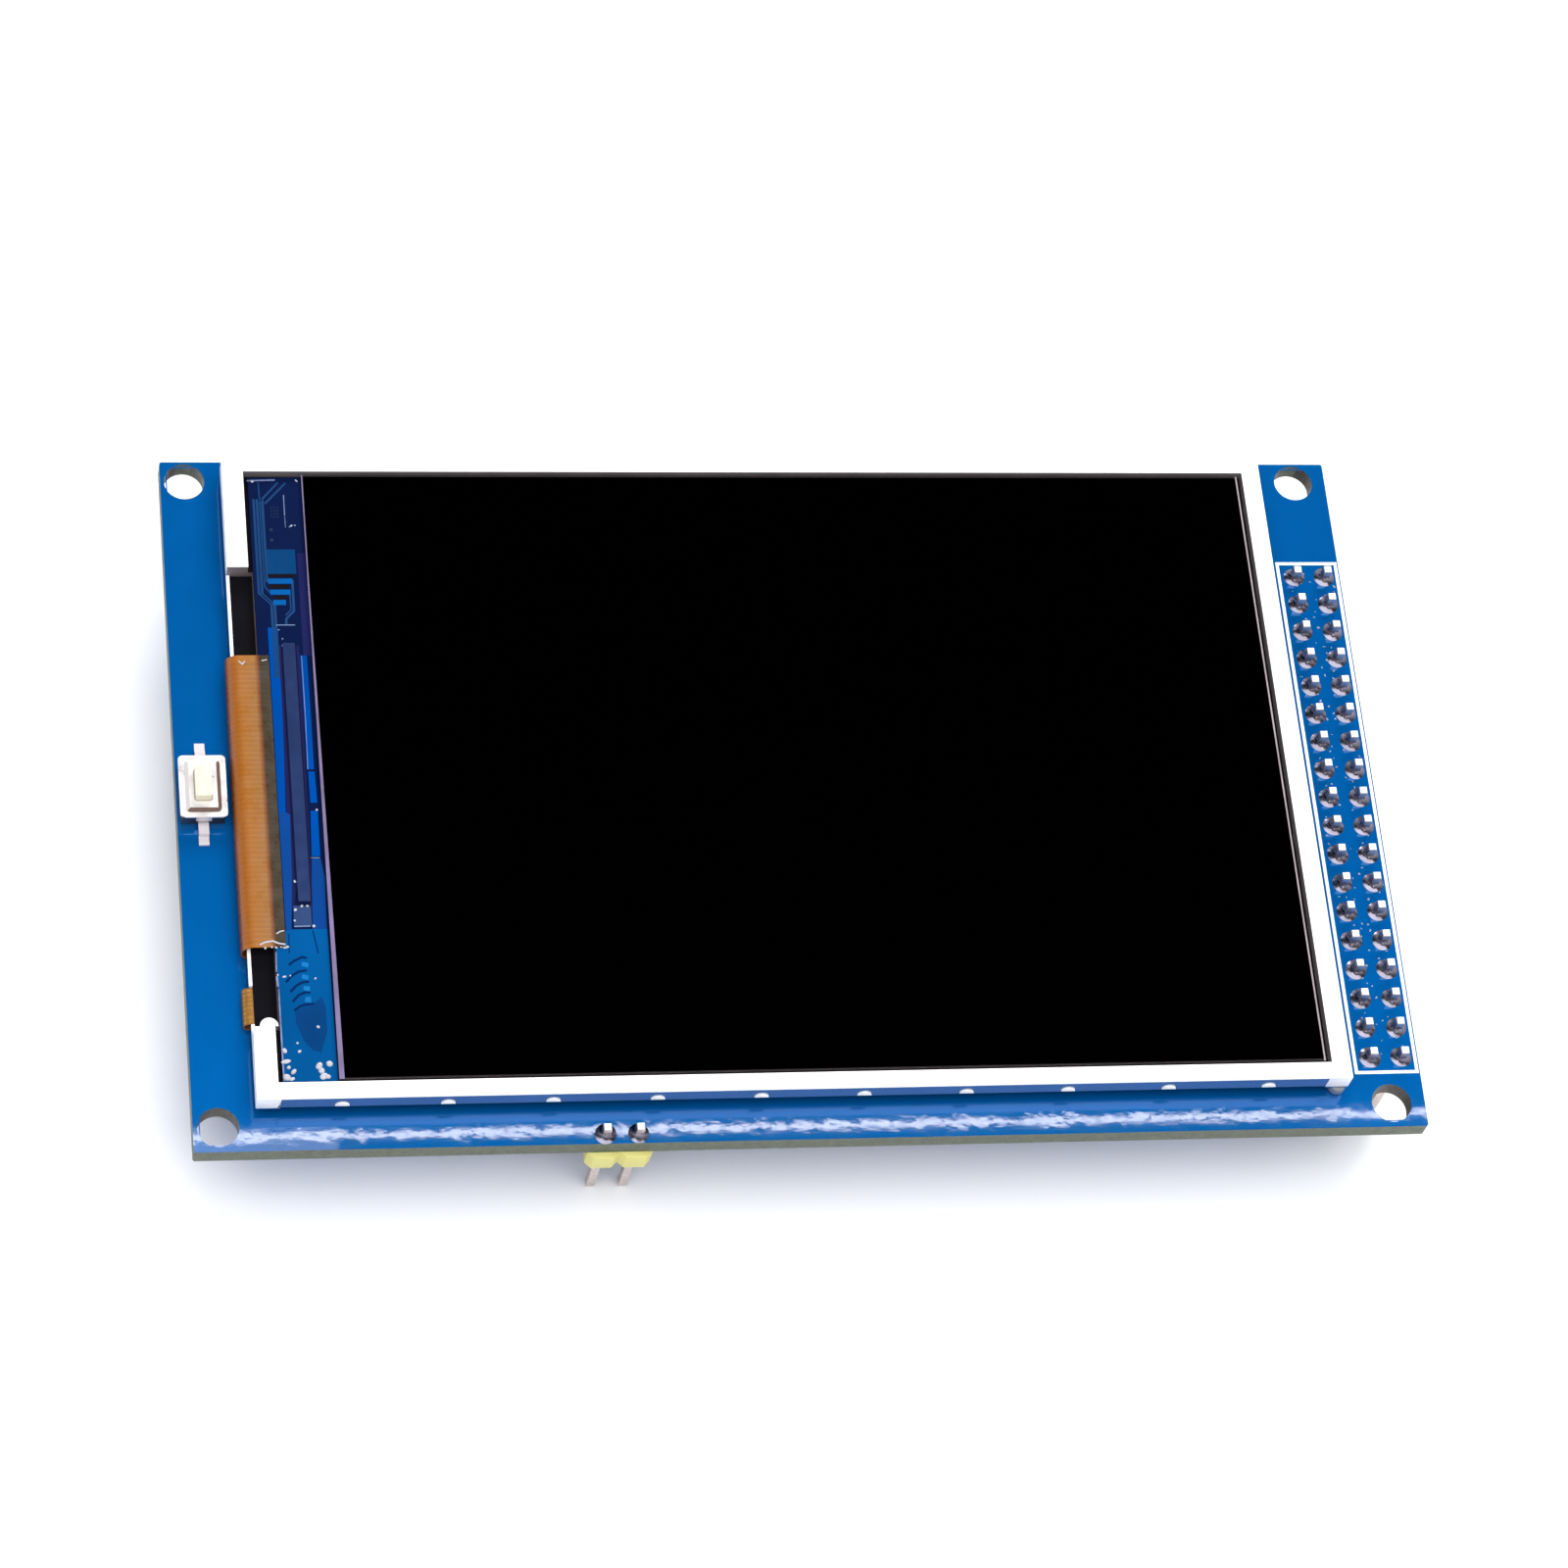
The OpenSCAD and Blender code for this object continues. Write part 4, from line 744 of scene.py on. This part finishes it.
def fillet_tree(finish_name, **values):
    """A concave solder fillet round each place, with small differences in height and turn."""
    tree = Tree("solder_fillets", **values)
    give = tree.given
    cone = tree.add("GeometryNodeMeshCone", {"Vertices": 20, "Side Segments": 7, "Radius Top": 1.0,
                                             "Radius Bottom": 1.0, "Depth": 1.0},
                    fill_type="TRIANGLE_FAN")
    spot = tree.add("ShaderNodeSeparateXYZ", {0: tree.add("GeometryNodeInputPosition").outputs[0]})
    fall = tree.calc("POWER", tree.calc("SUBTRACT", 1.0, spot.outputs["Z"]), give["Curve"])
    reach = tree.calc("MULTIPLY_ADD", fall, tree.calc("SUBTRACT", give["Base radius"], give["Top radius"]),
                      give["Top radius"])
    place = tree.add("ShaderNodeCombineXYZ", {"X": tree.calc("MULTIPLY", spot.outputs["X"], reach),
                                              "Y": tree.calc("MULTIPLY", spot.outputs["Y"], reach),
                                              "Z": tree.calc("MULTIPLY", spot.outputs["Z"], give["Height"])})
    shaped = tree.add("GeometryNodeSetPosition", {"Geometry": cone.outputs["Mesh"],
                                                  "Position": place.outputs[0]})
    turn = tree.add("FunctionNodeRandomValue", {0: (0, 0, 0), 1: (0, 0, math.tau), "Seed": give["Seed"]},
                    data_type="FLOAT_VECTOR")
    size = tree.add("FunctionNodeRandomValue", {0: (0.93, 0.93, 0.8), 1: (1.04, 1.04, 1.1),
                                                "Seed": give["Seed"]}, data_type="FLOAT_VECTOR")
    set_out = tree.add("GeometryNodeInstanceOnPoints", {
        "Points": give["Geometry"], "Instance": shaped.outputs[0], "Rotation": turn.outputs[0],
        "Scale": size.outputs[0]})
    tree.close(set_out.outputs[0], finish_name)
    return tree


def speck_tree(finish_name, **values):
    """Flattened specks scattered over a face."""
    tree = Tree("scattered_specks", **values)
    give = tree.given
    spread = tree.add("GeometryNodeDistributePointsOnFaces", {
        "Mesh": give["Geometry"], "Distance Min": give["Spacing"], "Density Max": give["Density"],
        "Seed": give["Seed"]}, distribute_method="POISSON")
    ball = tree.add("GeometryNodeMeshIcoSphere", {"Radius": give["Radius"], "Subdivisions": 2})
    size = tree.add("FunctionNodeRandomValue", {0: (0.4, 0.4, 0.15), 1: (1.8, 1.3, 0.5),
                                                "Seed": give["Seed"]}, data_type="FLOAT_VECTOR")
    turn = tree.add("FunctionNodeRandomValue", {0: (0, 0, 0), 1: (0, 0, math.tau), "Seed": give["Seed"]},
                    data_type="FLOAT_VECTOR")
    set_out = tree.add("GeometryNodeInstanceOnPoints", {
        "Points": spread.outputs["Points"], "Instance": ball.outputs["Mesh"],
        "Rotation": turn.outputs[0], "Scale": size.outputs[0]})
    tree.close(set_out.outputs[0], finish_name)
    return tree


def bead_tree(finish_name, **values):
    """A low bead of dried glue at each place, of many sizes; on the ledge and the ribbon's end the beads
    also stand as painted glints.
    """
    tree = Tree("glue_beads", **values)
    give = tree.given
    ball = tree.add("GeometryNodeMeshIcoSphere", {"Radius": give["Radius"], "Subdivisions": 2})
    size = tree.add("FunctionNodeRandomValue", {0: (0.5, 0.5, 0.2), 1: (1.5, 1.1, 0.5),
                                                "Seed": give["Seed"]}, data_type="FLOAT_VECTOR")
    turn = tree.add("FunctionNodeRandomValue", {0: (0, 0, 0), 1: (0, 0, math.tau), "Seed": give["Seed"]},
                    data_type="FLOAT_VECTOR")
    set_out = tree.add("GeometryNodeInstanceOnPoints", {
        "Points": give["Geometry"], "Instance": ball.outputs["Mesh"], "Rotation": turn.outputs[0],
        "Scale": size.outputs[0]})
    tree.close(set_out.outputs[0], finish_name)
    return tree


def rib_tree(finish_name, **values):
    """Flat conductors side by side, each following the same path."""
    tree = Tree("side_by_side_ribs", **values)
    give = tree.given
    outline = tree.add("GeometryNodeCurvePrimitiveQuadrilateral", {"Width": give["Thickness"],
                                                                   "Height": give["Width"]})
    rib = tree.add("GeometryNodeCurveToMesh", {"Curve": give["Geometry"],
                                               "Profile Curve": outline.outputs["Curve"],
                                               "Fill Caps": True})
    step = tree.add("ShaderNodeCombineXYZ", {"Y": give["Pitch"]})
    row = tree.add("GeometryNodeMeshLine", {"Count": give["Count"], "Offset": step.outputs[0]})
    set_out = tree.add("GeometryNodeInstanceOnPoints", {"Points": row.outputs["Mesh"],
                                                        "Instance": rib.outputs["Mesh"]})
    tree.close(set_out.outputs[0], finish_name)
    return tree


# ---------------------------------------------------------------- solder and flux

def pin_places(name):
    """Where each pin of a header comes through the top of the board."""
    return [Vector(((low.x + high.x) / 2, (low.y + high.y) / 2, BOARD_TOP)) for low, high in islands(name)]


def make_solder():
    places = pin_places("header_pins") + pin_places("link_header_pins")
    tree = fillet_tree("solder", **{"Base radius": 0.86 * MM, "Top radius": 0.3 * MM, "Height": 0.85 * MM,
                                    "Curve": 3.2, "Seed": 4})
    piece("solder_fillets", grown(tree, points_mesh(places)), None,
          replaces=["solder_joints"], smooth=50)


def make_pin_tips():
    """The flat sheared ends of the pins, painted near white as a highlight, brighter than their sides."""
    half, thick = 0.27 * MM, 0.01 * MM
    bm = bmesh.new()
    for low, high in islands("header_pins") + islands("link_header_pins"):
        x, y = (low.x + high.x) / 2, (low.y + high.y) / 2
        slab(bm, box_outline(x - half, y - half, x + half, y + half), high.z, thick)
    bmesh.ops.recalc_face_normals(bm, faces=bm.faces)
    piece("pin_tips", bm, "pin_tip_highlight", smooth=0)


def make_flux():
    """Dried flux between the pins of the double-row header, pale specks that also stand as painted glints.
    """
    low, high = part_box("header_block")
    sheet = bpy.data.meshes.new("between_pins")
    inset = 0.5 * MM
    sheet.from_pydata([(x, y, BOARD_TOP) for x, y in box_outline(
        low.x + inset, low.y + inset, high.x - inset, high.y - inset)], [], [(0, 1, 2, 3)])
    tree = speck_tree("flux", **{"Spacing": 0.45 * MM, "Density": 1.1e6, "Radius": 0.09 * MM, "Seed": 11})
    piece("flux_and_glint_specks", grown(tree, sheet), None, smooth=60)


# ---------------------------------------------------------------- ribbons

FLEX_LOW, FLEX_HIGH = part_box("panel_flex")
TAIL_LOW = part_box("lamp_flex")[0]


def fold_path(x_top, z_top, x_fold, radius, x_low, z_low, y):
    """A curve along the outside of a ribbon: a straight run, a half round and the run back."""
    turns = 16
    points = [(x_top, z_top)]
    for i in range(turns + 1):
        angle = math.pi / 2 + math.pi * i / turns
        points.append((x_fold + radius * math.cos(angle), z_low + radius + radius * math.sin(angle)))
    points.append((x_low, z_low))
    curve = bpy.data.curves.new("fold", "CURVE")
    curve.dimensions = "3D"
    spline = curve.splines.new("POLY")
    spline.points.add(len(points) - 1)
    for spot, (x, z) in zip(spline.points, points):
        spot.co = (x, y, z, 1)
    return curve


def make_tail_ribs():
    """Raised copper lines across the fold of the lamp ribbon's tail."""
    tail = [vert.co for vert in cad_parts["lamp_flex"].data.vertices if vert.co.x < TRAY_LOW.x]
    y0, y1 = min(co.y for co in tail), max(co.y for co in tail)
    top = max(co.z for co in tail)
    radius = (top - TAIL_LOW.z) / 2
    rise, across, margin = 0.02 * MM, 0.2 * MM, 0.22 * MM
    over_tray, under_tray = 0.2 * MM, 1 * MM
    path = fold_path(TRAY_LOW.x + over_tray, top, TAIL_LOW.x + radius, radius,
                     TRAY_LOW.x + under_tray, TAIL_LOW.z, y0 + margin)
    count = 8
    pitch = (y1 - y0 - 2 * margin) / (count - 1)
    tree = rib_tree("amber_rib", Width=2 * rise, Thickness=across, Pitch=pitch, Count=count)
    piece("tail_ribs", grown(tree, path), None, smooth=40)


def make_conductors():
    """The panel ribbon's copper lines, which show through its film, and the ribs of the tail."""
    radius = (FLEX_HIGH.z - FLEX_LOW.z) / 2
    pitch, across, margin = 0.42 * MM, 0.24 * MM, 0.5 * MM
    short_of_top, short_of_low = 0.15 * MM, 1 * MM
    near = 0.01 * MM
    upper = [vert.co.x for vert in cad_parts["panel_flex"].data.vertices
             if vert.co.z > FLEX_HIGH.z - near]
    path = fold_path(max(upper) - short_of_top, FLEX_HIGH.z, FLEX_LOW.x + radius, radius,
                     FLEX_HIGH.x - short_of_low, FLEX_LOW.z, FLEX_LOW.y + margin)
    count = int((FLEX_HIGH.y - FLEX_LOW.y - 2 * margin) / pitch) + 1
    tree = rib_tree("ribbon_copper", Width=2 * RIBBON_COPPER_RISE, Thickness=across, Pitch=pitch,
                    Count=count)
    piece("flex_conductors", grown(tree, path), None, smooth=40)
    make_tail_ribs()


# ---------------------------------------------------------------- the whole module

def make_floor():
    """A sheet of white paper at the height of the pins' lower ends."""
    half = 2.5
    sheet = bpy.data.meshes.new("floor")
    corners = [(x, y, FLOOR_Z) for x, y in box_outline(-half, -half, half, half)]
    sheet.from_pydata(corners, [], [(0, 1, 2, 3)])
    floor = bpy.data.objects.new("floor", sheet)
    bpy.context.scene.collection.objects.link(floor)
    finish("floor_paper", (244, 245, 248), 0.7, vary=0.005, patch=8, relief=0, own=True)
    sheet.materials.append(FINISHES["floor_paper"])


set_camera()
set_light()
make_finishes()
make_ribbon_finishes()
make_ledge_finishes()
dress_nodes()
soften_nodes()
make_board()
make_silkscreen()
make_pour_edge()
make_ledge_artwork()
make_cut_edges()
make_solder()
make_pin_tips()
make_flux()
make_conductors()
make_floor()
